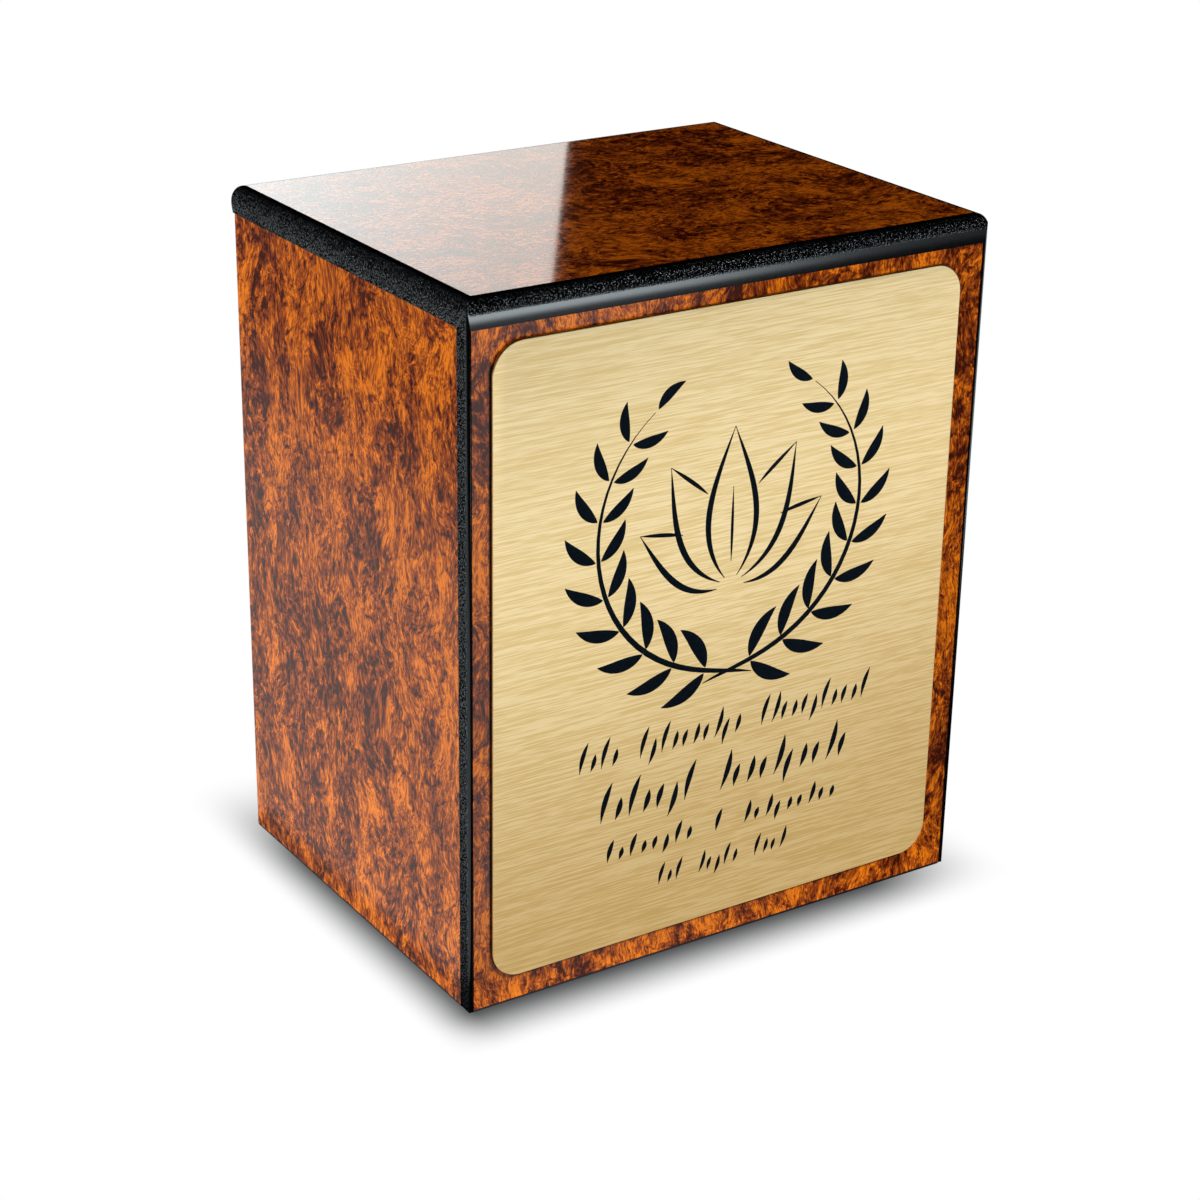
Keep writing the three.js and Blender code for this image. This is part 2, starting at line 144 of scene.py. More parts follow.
class UrnPlaqueSettings(bpy.types.PropertyGroup):
    """Shape and colours of the plaque."""

    corner: size_setting("Corner Radius", 9.5, "Round corners of the plate")
    bevel: size_setting("Edge", 0.5, "Rounding of the front edge")
    pale: colour_setting("Pale Brass", (0.86, 0.72, 0.42), "Bright brush marks")
    deep: colour_setting("Deep Brass", (0.73, 0.57, 0.27), "Dark brush marks")
    # The dark sides are painted shade, for the dark line that shade makes along the plate's edges
    edge: colour_setting("Sawn Edge", (0.22, 0.16, 0.07), "Dark sides of the plate")
    ink: colour_setting("Fill", (0.004, 0.007, 0.011), "Black fill of the strokes")
    proud: size_setting("Fill Height", 0.03, "Crown of the fill over the plate")
    sunk: size_setting("Fill Depth", 0.3, "Depth of the fill in the plate")
    steps: IntProperty(name="Steps", description="Points along a stroke", default=28, min=4)


class UrnStageSettings(bpy.types.PropertyGroup):
    """Camera and light of the studio."""

    azimuth: angle_setting("Azimuth", -33.22, "Camera's bearing, from the front")
    elevation: angle_setting("Elevation", 23.01, "Camera's height as an angle")
    roll: angle_setting("Roll", 0.93, "Camera's roll")
    distance: size_setting("Distance", 838.0, "From the camera to its aim")
    aim: FloatVectorProperty(
        name="Aim", description="Point that the camera looks at", subtype="TRANSLATION",
        default=(-4.1 * MM, -6.4 * MM, 90.0 * MM))
    lens: level_setting("Lens", 80.58, "Focal length in millimetres on a 36 mm sensor")
    floor: colour_setting("Floor", (1.0, 1.0, 1.0), "Colour of the floor")
    # Colour of the shadow painted on the floor
    shade: colour_setting("Shadow", (0.072, 0.074, 0.078), "Colour of the floor against the box")
    window: level_setting("Window", 2.95, "Brightness of the card that the top mirrors")
    bounce: level_setting("Bounce", 1.0, "Light that the floor throws up")
    front_bounce: level_setting("Front Bounce", 0.02, "Light that the floor throws up in front")
    sky: level_setting("Sky", 0.05, "Strength of the even light from above")


# Shader helpers

def feed(tree, node, inputs):
    """Sets a node's inputs to values, or links them to sockets."""
    for name, value in inputs.items():
        if isinstance(value, bpy.types.NodeSocket):
            tree.links.new(value, node.inputs[name])
        else:
            node.inputs[name].default_value = value


def add_node(tree, kind, inputs=None, **values):
    """A node with its settings and its inputs."""
    node = tree.nodes.new(kind)
    for name, value in values.items():
        setattr(node, name, value)
    feed(tree, node, inputs or {})
    return node


def maths(tree, operation, first, second=0.0, third=0.0):
    """One step of arithmetic on values."""
    inputs = {0: first, 1: second, 2: third}
    return add_node(tree, "ShaderNodeMath", inputs, operation=operation).outputs[0]


def vector_maths(tree, operation, first, second):
    """One step of arithmetic on vectors."""
    return add_node(tree, "ShaderNodeVectorMath", {0: first, 1: second}, operation=operation).outputs[0]


def scaled(tree, vector, factor):
    """A vector times a number."""
    return add_node(tree, "ShaderNodeVectorMath", {0: vector, "Scale": factor}, operation="SCALE").outputs[0]


def axes_of(tree, place):
    """The X, Y and Z of a place, by name."""
    return add_node(tree, "ShaderNodeSeparateXYZ", {0: place}).outputs


def remap(tree, value, low, high, to_low=0.0, to_high=1.0):
    """A value carried smoothly from one range to another."""
    inputs = {"Value": value, "From Min": low, "From Max": high, "To Min": to_low, "To Max": to_high}
    node = add_node(tree, "ShaderNodeMapRange", inputs, interpolation_type="SMOOTHSTEP")
    return node.outputs["Result"]


def mixed(tree, factor, first, second, blend="MIX"):
    """Two colours mixed by a factor."""
    inputs = {0: factor, 6: first, 7: second}
    return add_node(tree, "ShaderNodeMix", inputs, data_type="RGBA", blend_type=blend).outputs[2]


def noise(tree, place, scale, detail=2.0, roughness=0.5, output="Fac"):
    """Smooth noise of a given scale, in swirls per unit of the place."""
    inputs = {"Vector": place, "Scale": scale, "Detail": detail, "Roughness": roughness}
    return add_node(tree, "ShaderNodeTexNoise", inputs).outputs[output]


def cells(tree, place, scale):
    """Scattered middles: the distance to the nearest one, and a chance from 0 to 1 of its own."""
    node = add_node(tree, "ShaderNodeTexVoronoi", {"Vector": place, "Scale": scale})
    chance = add_node(tree, "ShaderNodeSeparateColor", {0: node.outputs["Color"]}).outputs[0]
    return node.outputs["Distance"], chance


def rgba(colour):
    """A colour with full alpha."""
    return (*colour, 1.0)


def new_group(name, inputs, outputs):
    """An empty shader node group with named sockets, the sockets that bring inputs in, and its end node."""
    group = bpy.data.node_groups.new(name, "ShaderNodeTree")
    for label, kind in inputs:
        group.interface.new_socket(label, in_out="INPUT", socket_type=kind)
    for label, kind in outputs:
        group.interface.new_socket(label, in_out="OUTPUT", socket_type=kind)
    return group, group.nodes.new("NodeGroupInput").outputs, group.nodes.new("NodeGroupOutput")


def new_material(name, **shader_values):
    """A material with one Principled shader, and the Object coordinates that its patterns read."""
    material = bpy.data.materials.new(name)
    material.use_nodes = True
    tree = material.node_tree
    shader = tree.nodes["Principled BSDF"]
    feed(tree, shader, shader_values)
    place = tree.nodes.new("ShaderNodeTexCoord").outputs["Object"]
    return material, tree, shader, place


def bumped(tree, shader, height, distance):
    """Feeds a height pattern to the shader's normal."""
    bump = add_node(tree, "ShaderNodeBump", {"Height": height, "Distance": distance, "Strength": 1.0})
    feed(tree, shader, {"Normal": bump.outputs["Normal"]})


# Shared effects

def mottle_group():
    """Even speckle: noise of one grain size, with a finer one added to a third of its strength."""
    finer, share = 3.7, 0.33
    group, start, end = new_group(
        MOTTLE,
        [("Place", "NodeSocketVector"), ("Grain", "NodeSocketFloat")],
        [("Value", "NodeSocketFloat")])
    scale = maths(group, "DIVIDE", 1.0, start["Grain"])
    coarse = noise(group, start["Place"], scale)
    fine = noise(group, start["Place"], maths(group, "MULTIPLY", scale, finer), detail=1.0)
    both = maths(group, "MULTIPLY_ADD", fine, share, maths(group, "MULTIPLY", coarse, 1.0 - share))
    feed(group, end, {"Value": both})
    return group


def mottle(tree, place, grain):
    """The mottle group, built on first use and placed with a grain size of its own."""
    group = bpy.data.node_groups.get(MOTTLE) or mottle_group()
    inputs = {"Place": place, "Grain": grain}
    return add_node(tree, "ShaderNodeGroup", inputs, node_tree=group).outputs["Value"]


def pushed(tree, place, scale, amount, detail):
    """A place pushed about by noise of a given scale, by up to half the amount each way."""
    push = vector_maths(tree, "SUBTRACT", noise(tree, place, scale, detail, output="Color"), (0.5, 0.5, 0.5))
    return vector_maths(tree, "ADD", place, scaled(tree, push, amount))


def burl_blotches(group, drift, swirl):
    """How blotches crowd together in bands, the noise that makes them, and the blotches themselves, where
    that noise, raised at scattered spots, passes a threshold."""
    bands = vector_maths(group, "MULTIPLY", drift, (1.0, 1.0, 0.5))
    crowd = remap(group, noise(group, bands, 1.3), 0.36, 0.64)
    spot_distance, _ = cells(group, swirl, 4.6)
    spot = remap(group, spot_distance, 0.46, 0.06)
    blot = maths(group, "MULTIPLY_ADD", spot, 0.15, noise(group, swirl, 8.5, roughness=0.6))
    reach = maths(group, "MULTIPLY_ADD", crowd, -0.16, 0.685)
    return crowd, blot, remap(group, maths(group, "SUBTRACT", blot, reach), -0.10, 0.11)


def burl_outlines(group, swirl):
    """Outlines where a broad noise crosses its middle, and the noise that breaks them up."""
    ring = noise(group, swirl, 2.6, detail=1.0)
    close = maths(group, "ABSOLUTE", maths(group, "SUBTRACT", ring, 0.5))
    broken = noise(group, swirl, 3.2, detail=1.0)
    line = remap(group, close, 0.04, 0.0)
    return broken, maths(group, "MULTIPLY", line, remap(group, broken, 0.44, 0.60))


def burl_eyes(group, swirl, blot):
    """Places near the scattered eyes, and rings round the eyes, bent by the noise of the blotches."""
    far, chance = cells(group, swirl, 1.5)
    near = maths(group, "MULTIPLY", remap(group, far, 0.46, 0.20), remap(group, chance, 0.25, 0.55))
    bend = maths(group, "MULTIPLY", blot, 9.0)
    wave = maths(group, "SINE", maths(group, "MULTIPLY_ADD", far, 44.0, bend))
    return near, maths(group, "MULTIPLY", wave, near)


def burl_fibres(group, swirl, broken):
    """Fibres and finer hairs, which are noise drawn out along the sheet, and ripples across them."""
    strands = vector_maths(group, "MULTIPLY", swirl, (1.0, 1.0, 0.40))
    fibre = noise(group, strands, 16.0, detail=3.0, roughness=0.6)
    hairs = vector_maths(group, "MULTIPLY", swirl, (1.0, 1.0, 0.18))
    hair = noise(group, hairs, 40.0, detail=3.0, roughness=0.7)
    climb = maths(group, "MULTIPLY", axes_of(group, swirl)["Z"], 120.0)
    waves = maths(group, "SINE", maths(group, "MULTIPLY_ADD", fibre, 5.0, climb))
    return fibre, hair, maths(group, "MULTIPLY", waves, remap(group, broken, 0.50, 0.36))


def burl_group():
    """Burl figure: blotches, broken outlines and fibres that swirl together.

    The place is pushed about by a wide noise and a narrow one, so that straight grain turns into swirls. The
    parts of the figure add up to a tone, each with its own weight. The tone picks the colour, and the hairs
    shade it.
    """
    group, start, end = new_group(
        "Burl Figure",
        [("Place", "NodeSocketVector"), ("Size", "NodeSocketFloat"), ("Eye", "NodeSocketColor"),
         ("Brown", "NodeSocketColor"), ("Orange", "NodeSocketColor"), ("Gold", "NodeSocketColor")],
        [("Colour", "NodeSocketColor"), ("Tone", "NodeSocketFloat")])
    unit = scaled(group, start["Place"], maths(group, "DIVIDE", 1.0, start["Size"]))
    drift = pushed(group, unit, 0.8, 0.8, detail=1.0)
    swirl = pushed(group, drift, 4.5, 0.17, detail=2.0)
    crowd, blot, blotch = burl_blotches(group, drift, swirl)
    broken, outline = burl_outlines(group, swirl)
    near, rings = burl_eyes(group, swirl, blot)
    fibre, hair, ripple = burl_fibres(group, swirl, broken)
    grain = noise(group, swirl, 6.0, detail=4.0, roughness=0.62)
    broad = noise(group, drift, 2.2, detail=1.0)

    weights = (
        (grain, 0.80), (hair, 1.05), (broad, 0.50), (fibre, 0.85), (ripple, 0.045), (crowd, -0.15),
        (blotch, -0.25), (outline, -0.26), (rings, 0.075), (near, -0.07))
    tone = 0.0
    for part, weight in weights:
        tone = maths(group, "MULTIPLY_ADD", part, weight, tone)
    span = {"Value": tone, "From Min": 1.13, "From Max": 1.71}
    level = add_node(group, "ShaderNodeMapRange", span, clamp=False).outputs["Result"]

    dark = mixed(group, remap(group, level, 0.0, 0.30), start["Eye"], start["Brown"])
    warm = mixed(group, remap(group, level, 0.18, 0.62), dark, start["Orange"])
    bright = mixed(group, remap(group, level, 0.50, 1.12), warm, start["Gold"])
    shimmer = remap(group, hair, 0.32, 0.68, 0.80, 1.18)
    feed(group, end, {"Colour": mixed(group, 1.0, bright, shimmer, "MULTIPLY"), "Tone": level})
    return group


# Materials

def veneer_material(name, settings, group, turn, slide):
    """Burl veneer under gloss lacquer, with the black lower edge. turn and slide choose the sheet's cut."""
    edge_black, edge_dullness, edge_soft = (0.008, 0.008, 0.009), 0.5, 0.1 * MM
    draw_out, gloss_span = (1.0, 1.0, 0.78), (0.045, 0.055)
    material, tree, shader, place = new_material(name, IOR=1.42)
    cut = add_node(tree, "ShaderNodeMapping", {
        "Vector": place, "Rotation": turn, "Location": slide, "Scale": draw_out})
    figure = add_node(tree, "ShaderNodeGroup", {
        "Place": cut.outputs["Vector"], "Size": settings.figure, "Eye": rgba(settings.eye),
        "Brown": rgba(settings.brown), "Orange": rgba(settings.orange), "Gold": rgba(settings.gold),
    }, node_tree=group).outputs
    height = axes_of(tree, place)["Z"]
    foot = remap(tree, height, settings.foot_line + edge_soft, settings.foot_line - edge_soft)
    gloss = remap(tree, figure["Tone"], 0.0, 1.0, *gloss_span)
    feed(tree, shader, {
        "Base Color": mixed(tree, foot, figure["Colour"], rgba(edge_black)),
        "Roughness": maths(tree, "MULTIPLY_ADD", foot, edge_dullness, gloss)})
    return material


def lacquer_material(settings):
    """Black lacquer with a satin, slightly uneven skin, and fine grains where a piece is pebbled."""
    wear, plain_gleam, extra_gloss = 1.7, 0.5, -0.03
    skin_grain, gloss_span, glint_fleck_span = 1.4 * MM, (0.17, 0.19), (0.15, 1.65)
    material, tree, shader, place = new_material(LACQUER, IOR=1.5)
    skin = mottle(tree, place, skin_grain)
    pebbled = add_node(tree, "ShaderNodeAttribute", attribute_name=PEBBLED).outputs["Fac"]
    distance, chance = cells(tree, place, 1.0 / settings.grain)
    shown = remap(tree, chance, 0.05, 0.95, *glint_fleck_span)
    # Pale flecks on the tops of the grains' domes: painted glints in the base colour, and the specular level
    # follows them
    glint_fleck = maths(tree, "MULTIPLY", remap(tree, distance, 0.60, 0.25), shown)
    worn = rgba([wear * part for part in settings.black])
    even = mixed(tree, remap(tree, skin, 0.45, 0.7), rgba(settings.black), worn)
    gloss = remap(tree, skin, *MOTTLE_SPAN, *gloss_span)
    gleam = maths(tree, "SUBTRACT", glint_fleck, plain_gleam)
    feed(tree, shader, {
        "Base Color": mixed(tree, maths(tree, "MULTIPLY", glint_fleck, pebbled), even, rgba(settings.glint_fleck)),
        "Roughness": maths(tree, "MULTIPLY_ADD", pebbled, extra_gloss, gloss),
        "Specular IOR Level": maths(tree, "MULTIPLY_ADD", gleam, pebbled, plain_gleam)})
    domes = maths(tree, "SUBTRACT", 1.0, distance)
    bumped(tree, shader, maths(tree, "MULTIPLY", domes, pebbled), settings.grain_relief)
    return material


def brass_material(settings):
    """Brass brushed along its width: long thin noise for the brush marks, and broad soft patches."""
    mark_depth, edge_soft, fine_share = 0.012 * MM, 0.1 * MM, 0.45
    patch_grain, patch_share, low_contrast, high_contrast = 30 * MM, 0.05, 10.6, 5.1
    material, tree, shader, place = new_material("brushed_brass", Metallic=1.0, Roughness=0.36)
    long_marks = vector_maths(tree, "MULTIPLY", place, (0.03, 1.0, 1.0))
    broad = noise(tree, long_marks, 1700.0, roughness=0.6)
    short_marks = vector_maths(tree, "MULTIPLY", place, (0.035, 1.0, 1.0))
    fine = noise(tree, short_marks, 3400.0, detail=1.0, roughness=0.6)
    marks = maths(tree, "MULTIPLY_ADD", fine, fine_share, maths(tree, "MULTIPLY", broad, 1.0 - fine_share))
    patches = maths(tree, "SUBTRACT", mottle(tree, place, patch_grain), 0.5)
    marks = maths(tree, "MULTIPLY_ADD", patches, patch_share, marks)
    axes = axes_of(tree, place)
    contrast = remap(tree, axes["Z"], PLATE_LOW.z, PLATE_HIGH.z, low_contrast, high_contrast)
    tone = maths(tree, "MULTIPLY_ADD", maths(tree, "SUBTRACT", marks, 0.5), contrast, 0.5)
    colour = mixed(tree, tone, rgba(settings.deep), rgba(settings.pale))
    edge = PLATE_LOW.y + settings.bevel
    # Behind the rounded front edge the sides take the dark colour: painted shade along the plate's edges
    side_shade = remap(tree, axes["Y"], edge, edge + edge_soft)
    feed(tree, shader, {"Base Color": mixed(tree, side_shade, colour, rgba(settings.edge))})
    bumped(tree, shader, marks, mark_depth)
    return material


def two_tone(tree, shader, value, spread, dark, pale, roughness):
    """Feeds the shader two colours and two roughnesses that a mottled value blends."""
    feed(tree, shader, {
        "Base Color": mixed(tree, remap(tree, value, *spread), rgba(dark), rgba(pale)),
        "Roughness": remap(tree, value, *MOTTLE_SPAN, *roughness)})


def fill_material(settings):
    """Black enamel that fills the strokes, a little uneven."""
    material, tree, shader, place = new_material("stroke_fill", IOR=1.45)
    grain, thinning = 0.8 * MM, 1.8
    thin = [thinning * part for part in settings.ink]
    two_tone(tree, shader, mottle(tree, place, grain), (0.4, 0.7), settings.ink, thin, (0.48, 0.62))
    return material


def base_material():
    """Matt black paint on the base board, brushed along its length."""
    grain, depth, dark, pale = 1.2 * MM, 0.06 * MM, (0.012, 0.011, 0.011), (0.03, 0.028, 0.026)
    material, tree, shader, place = new_material("base_paint", IOR=1.45)
    strokes = vector_maths(tree, "MULTIPLY", place, (0.06, 1.0, 1.0))
    paint = mottle(tree, strokes, grain)
    two_tone(tree, shader, paint, (0.35, 0.7), dark, pale, (0.62, 0.8))
    bumped(tree, shader, paint, depth)
    return material


def screw_material():
    """Plated steel with fine handling marks."""
    grain, dark, pale = 0.5 * MM, (0.42, 0.42, 0.41), (0.62, 0.62, 0.60)
    material, tree, shader, place = new_material("screw_steel", Metallic=1.0)
    two_tone(tree, shader, mottle(tree, place, grain), (0.35, 0.65), dark, pale, (0.25, 0.42))
    return material


# Mesh helpers

def smooth_part(value):
    """Three times the square less twice the cube, for a value held between 0 and 1."""
    held = np.clip(value, 0.0, 1.0)
    return held * held * (3.0 - 2.0 * held)


def pebbles(along, across, size, seed):
    """Height from 0 to 1 of close-packed domes: one less the squared distance to the nearest of scattered
    middles, with one middle somewhere in each square cell of the given size."""
    count = 256
    scatter = np.random.default_rng(seed).random((count, count, 2))
    column, row = along / size, across / size
    cell_a, cell_b = np.floor(column).astype(int), np.floor(row).astype(int)
    nearest = np.full(column.shape, 9.0)
    for step_a in (-1, 0, 1):
        for step_b in (-1, 0, 1):
            near_a, near_b = cell_a + step_a, cell_b + step_b
            middle = scatter[near_a % count, near_b % count]
            gap_a = near_a + middle[..., 0] - column
            gap_b = near_b + middle[..., 1] - row
            nearest = np.minimum(nearest, gap_a ** 2 + gap_b ** 2)
    return np.clip(1.0 - nearest, 0.0, 1.0)


def ring_faces(rows, columns):
    """Corner numbers of the quads between neighbouring closed rings of points."""
    row = np.arange(rows - 1)[:, None] * columns
    column = np.arange(columns)[None, :]
    after = (column + 1) % columns
    quads = np.stack([row + column, row + after, row + after + columns, row + column + columns], axis=-1)
    return quads.reshape(-1, 4)


def ring_mesh(name, points):
    """A mesh of closed shells, from an array of shells, rings, points and three coordinates. Quads join
    the rings, and each shell's first and last ring are filled. Gives the corners of quads and fills too."""
    shells, rows, columns, _ = points.shape
    offset = np.arange(shells)[:, None, None] * rows * columns
    ends = np.stack([np.arange(columns)[::-1], np.arange(columns) + (rows - 1) * columns])
    quads = (ring_faces(rows, columns)[None] + offset).reshape(-1, 4)
    fills = (ends[None] + offset).reshape(-1, columns)
    mesh = bpy.data.meshes.new(name)
    mesh.from_pydata(points.reshape(-1, 3).tolist(), [], [*quads.tolist(), *fills.tolist()])
    return mesh, quads, fills


def ring_piece(name, points, pebbled, material):
    """A moulding from one shell of rings. Its map follows rows and columns, and its points keep pebbled
    as an attribute."""
    rows, columns, _ = points.shape
    mesh, quads, fills = ring_mesh(name, points[None])
    row, column = np.divmod(quads[:, 0], columns)
    corners = np.array([[0, 0], [0, 1], [1, 1], [1, 0]])
    map_row = (row[:, None] + corners[None, :, 0]) / (rows - 1)
    map_column = (column[:, None] + corners[None, :, 1]) / columns
    flat = np.stack([map_row, map_column], axis=-1).reshape(-1, 2)
    fill_map(mesh, np.concatenate([flat, np.zeros((fills.size, 2))]))
    attribute = mesh.attributes.new(PEBBLED, "FLOAT", "POINT")
    attribute.data.foreach_set("value", pebbled.astype(np.float32).ravel())
    return finish_piece(name, mesh, material)


def new_object(name, data):
    """An object of the scene."""
    thing = bpy.data.objects.new(name, data)
    bpy.context.scene.collection.objects.link(thing)
    return thing


def fill_map(mesh, flat):
    """Writes one map point for each face corner."""
    layer = mesh.uv_layers.new(name=BAKE_MAP)
    layer.data.foreach_set("uv", flat.astype(np.float32).ravel())


def finish_piece(name, mesh, material, sharp=math.radians(40)):
    """Smooth shading with sharp corners kept, the material, and an object that rides on the box."""
    mesh.validate()
    mesh.polygons.foreach_set("use_smooth", np.ones(len(mesh.polygons), dtype=bool))
    mesh.set_sharp_from_angle(angle=sharp)
    mesh.materials.append(material)
    piece = new_object(name, mesh)
    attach(piece, BODY)
    return piece


# Mouldings

def lip_section(settings):
    """Section of a top moulding as arrays: how far out from the crown, how far down from the top, the
    outward direction, and the length along the skin.

    It climbs the inner wall, goes over a flat and a quarter of an ellipse, and falls back to the board
    below by a square law.
    """
    wide, tall = settings.lip_round, settings.lip_fall
    angle = np.linspace(-np.pi / 2, 0.0, round((wide + tall) / settings.step))
    part = np.linspace(0.0, 1.0, round((LIP_TALL - tall) / settings.step) + 1)[1:]
    out = np.concatenate([[-LIP_WIDE, -LIP_WIDE], wide * (np.cos(angle) - 1.0), -CROWN * part ** 2])
    down = np.concatenate([[LIP_TALL, 0.0], tall * (np.sin(angle) + 1.0), tall + (LIP_TALL - tall) * part])
    slant = np.hypot(tall * np.cos(angle), wide * np.sin(angle))
    facing_out = np.concatenate([[0.0, 0.0], tall * np.cos(angle) / slant, np.ones(part.size)])
    facing_down = np.concatenate([[0.0, 0.0], wide * np.sin(angle) / slant, np.zeros(part.size)])
    skin = np.concatenate([[0.0], np.cumsum(np.hypot(np.diff(out), np.diff(down)))])
    return out, down, facing_out, facing_down, skin


def rounding(distance, wide, tall):
    """How far an edge rounded by a quarter of an ellipse falls away, at a distance in from its face."""
    inside = np.clip(1.0 - distance / wide, 0.0, 1.0)
    return tall * (1.0 - np.sqrt(1.0 - inside ** 2))


def strip_point(settings):
    """Where a corner moulding comes to its point: how far in from both faces, and how far below the top."""
    inward = settings.post_round * (1.0 - math.sqrt(0.5))
    return inward, float(rounding(inward, settings.lip_round, settings.lip_fall))


def strip_edge(reach, down, settings):
    """How far a corner moulding reaches along a face at depths below the top, from its point on."""
    inward, depth = strip_point(settings)
    return inward + (reach - inward) * np.clip((down - depth) / (LIP_TALL - depth), 0.0, None)


def top_moulding(name, node, turn, half_along, half_across, posts, pebbled, settings, material):
    """A top moulding: the section carried along one side of the box. Each end stops at the mitre or at the
    slope of the corner moulding beside it, whichever comes first. turn counts quarter turns from the front.
    The skin is pebbled down to the given depth."""
    out, down, facing_out, facing_down, skin = lip_section(settings)
    slope = [strip_edge(post, down, settings) + JOINT if post else 0.0 * down for post in posts]
    start = np.maximum(-out, slope[0]) - half_along
    stop = half_along - np.maximum(-out, slope[1])
    rows = round(2 * half_along / settings.step)
    share = np.linspace(0.0, 1.0, rows + 1)[:, None]
    along = start + (stop - start) * share
    ends = np.minimum(along - start, stop - along)
    relief = smooth_part(down / FADE_TOP) * (1.0 - smooth_part((down - pebbled) / FADE_LOW))
    dents = 1.0 - pebbles(along + half_along, skin + 0.0 * along, settings.pebble, seed=turn + 1)
    pebbled_part = relief * smooth_part(ends / FADE_END)
    depth = settings.relief * dents * pebbled_part
    aside = -(half_across + out - facing_out * depth)
    height = HEIGHT - (down - facing_down * depth)
    cosine, sine = round(math.cos(turn * math.pi / 2)), round(math.sin(turn * math.pi / 2))
    points = np.stack([cosine * along - sine * aside, sine * along + cosine * aside, height], axis=-1)
    piece = ring_piece(name, points, pebbled_part, material)
    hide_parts(node)
    return piece


def post_section(settings):
    """Plan of a corner moulding as arrays: distance in from the side face and from the front face, and the
    outward direction. It runs from the inner corner along the side, round the outer corner and along
    the front."""
    radius, ease = settings.post_round, settings.post_ease
    quarter = np.linspace(0.0, np.pi / 2, 5)
    corner = np.linspace(0.0, np.pi / 2, 9)
    flat = np.linspace(0.0, 1.0, round(POST_SIDE / settings.step))[1:-1]
    side_flat = POST_SIDE - ease + (radius - POST_SIDE + ease) * flat
    in_side = np.concatenate([
        [POST_FRONT], ease * (1 - np.sin(quarter)), 0.0 * flat, radius * (1 - np.cos(corner)),
        POST_FRONT - ease * (1 - np.sin(quarter))])
    in_front = np.concatenate([
        [POST_SIDE], POST_SIDE - ease * (1 - np.cos(quarter)), side_flat, radius * (1 - np.sin(corner)),
        ease * (1 - np.cos(quarter))])
    facing_side = np.concatenate([[0.0], np.sin(quarter), 1.0 + 0.0 * flat, np.cos(corner), -np.sin(quarter)])
    facing_front = np.concatenate([[0.0], -np.cos(quarter), 0.0 * flat, np.sin(corner), np.cos(quarter)])
    return in_side, in_front, facing_side, facing_front


def corner_moulding(name, node, side, settings, material):
    """A corner moulding: its plan carried up from the rounded foot to two slopes that meet in a point, and
    moved in near the top as the top mouldings round in. Only its side is pebbled. side is -1 on the left and
    1 on the right."""
    in_side, in_front, facing_side, facing_front = post_section(settings)
    skin = np.concatenate([[0.0], np.cumsum(np.hypot(np.diff(in_side), np.diff(in_front)))])
    inward, point = strip_point(settings)
    slope_front = (in_side - inward) / (POST_FRONT - inward)
    slope_side = (in_front - inward) / (POST_SIDE - inward)
    slopes = np.clip(np.maximum(slope_front, slope_side), 0.0, None)
    stop = HEIGHT - point - (LIP_TALL - point) * slopes
    start = rounding(np.minimum(in_side, in_front), settings.foot_round, settings.foot_round)
    share = np.linspace(0.0, 1.0, round(HEIGHT / settings.step) + 1)[:, None]
    height = start + (stop - start) * share
    dents = 1.0 - pebbles(height, skin + 0.0 * height, settings.pebble, seed=side + 7)
    ends = np.minimum(height - start, stop - height)
    pebbled_part = smooth_part(4.0 * np.abs(facing_side) - 3.0) * smooth_part(ends / FADE_END)
    depth = settings.relief * dents * pebbled_part
    inset = rounding(HEIGHT - height, settings.lip_fall, settings.lip_round)
    across = side * (HALF_WIDTH - np.maximum(in_side, inset) - facing_side * depth)
    aside = -(HALF_DEPTH - np.maximum(in_front, inset) - facing_front * depth)
    points = np.stack([across, aside, height], axis=-1)
    order = slice(None, None, side)
    piece = ring_piece(name, points[:, order], pebbled_part[:, order], material)
    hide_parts(node)
    return piece


# Plaque

# Design of the plaque, in millimetres from its middle: a lily between two leafy sprays, over rows of strokes.
# The stems follow a circle, from a start angle through a sweep, and droop at their lower ends.
SPRAY = {"height": 32.0, "radius": 46.0, "start": -101.0, "sweep": 154.0, "droop": 5.0, "fade": 12,
         "width": 1.8, "peak": 0.3}
LEAF = {"pairs": 9, "first": 0.13, "clear": 1.4, "lengths": (18.0, 12.5), "widths": (4.4, 3.2),
        "splay": 42.0, "bulge": 0.1, "peak": 0.45}
PETALS = (
    {"lean": 0.0, "length": 48.0, "belly": 9.0, "outer": 0.04, "inner": None},
    {"lean": 29.0, "length": 45.0, "belly": 9.0, "outer": 0.06, "inner": 0.66},
    {"lean": 57.0, "length": 38.0, "belly": 8.0, "outer": 0.09, "inner": 0.64},
)
PETAL = {"root": 12.0, "skew": 0.8, "thin": 0.15, "outer_width": 2.0, "inner_width": 1.3, "peak": 0.45}
VEIN = {"first": 0.14, "last": 0.62, "width": 1.0}
ROWS = (
    {"foot": -37.1, "cap": 9.5, "half": 53.0, "groups": (4, 10, 11)},
    {"foot": -55.1, "cap": 12.5, "half": 46.0, "groups": (7, 10)},
    {"foot": -68.6, "cap": 7.0, "half": 43.0, "groups": (8, 1, 9)},
    {"foot": -81.1, "cap": 7.0, "half": 24.0, "groups": (3, 5, 4)},
)
ROW = {"slant": math.tan(math.radians(17)), "space": 1.6, "drop_every": 7, "drop_at": 5, "drop": 0.3,
       "bulge": 0.05, "least": 0.25, "spread": 0.34, "peak": 0.55}
ROW_RISES = np.array([0.66, 0.55, 1.0, 0.55, 0.6, 0.55, 1.0, 0.6, 0.55])
TIP = 0.12  # half the width of a stroke's blunt ends
SWELL = 0.8  # power of the sine that gives a stroke's width, lower for fuller strokes
LIFT = 0.002 * MM  # keeps the edges of the fill clear of the plate's face
PLATE_MIDDLE = (PLATE_LOW + PLATE_HIGH) / 2
PLATE_SIZE = PLATE_HIGH - PLATE_LOW


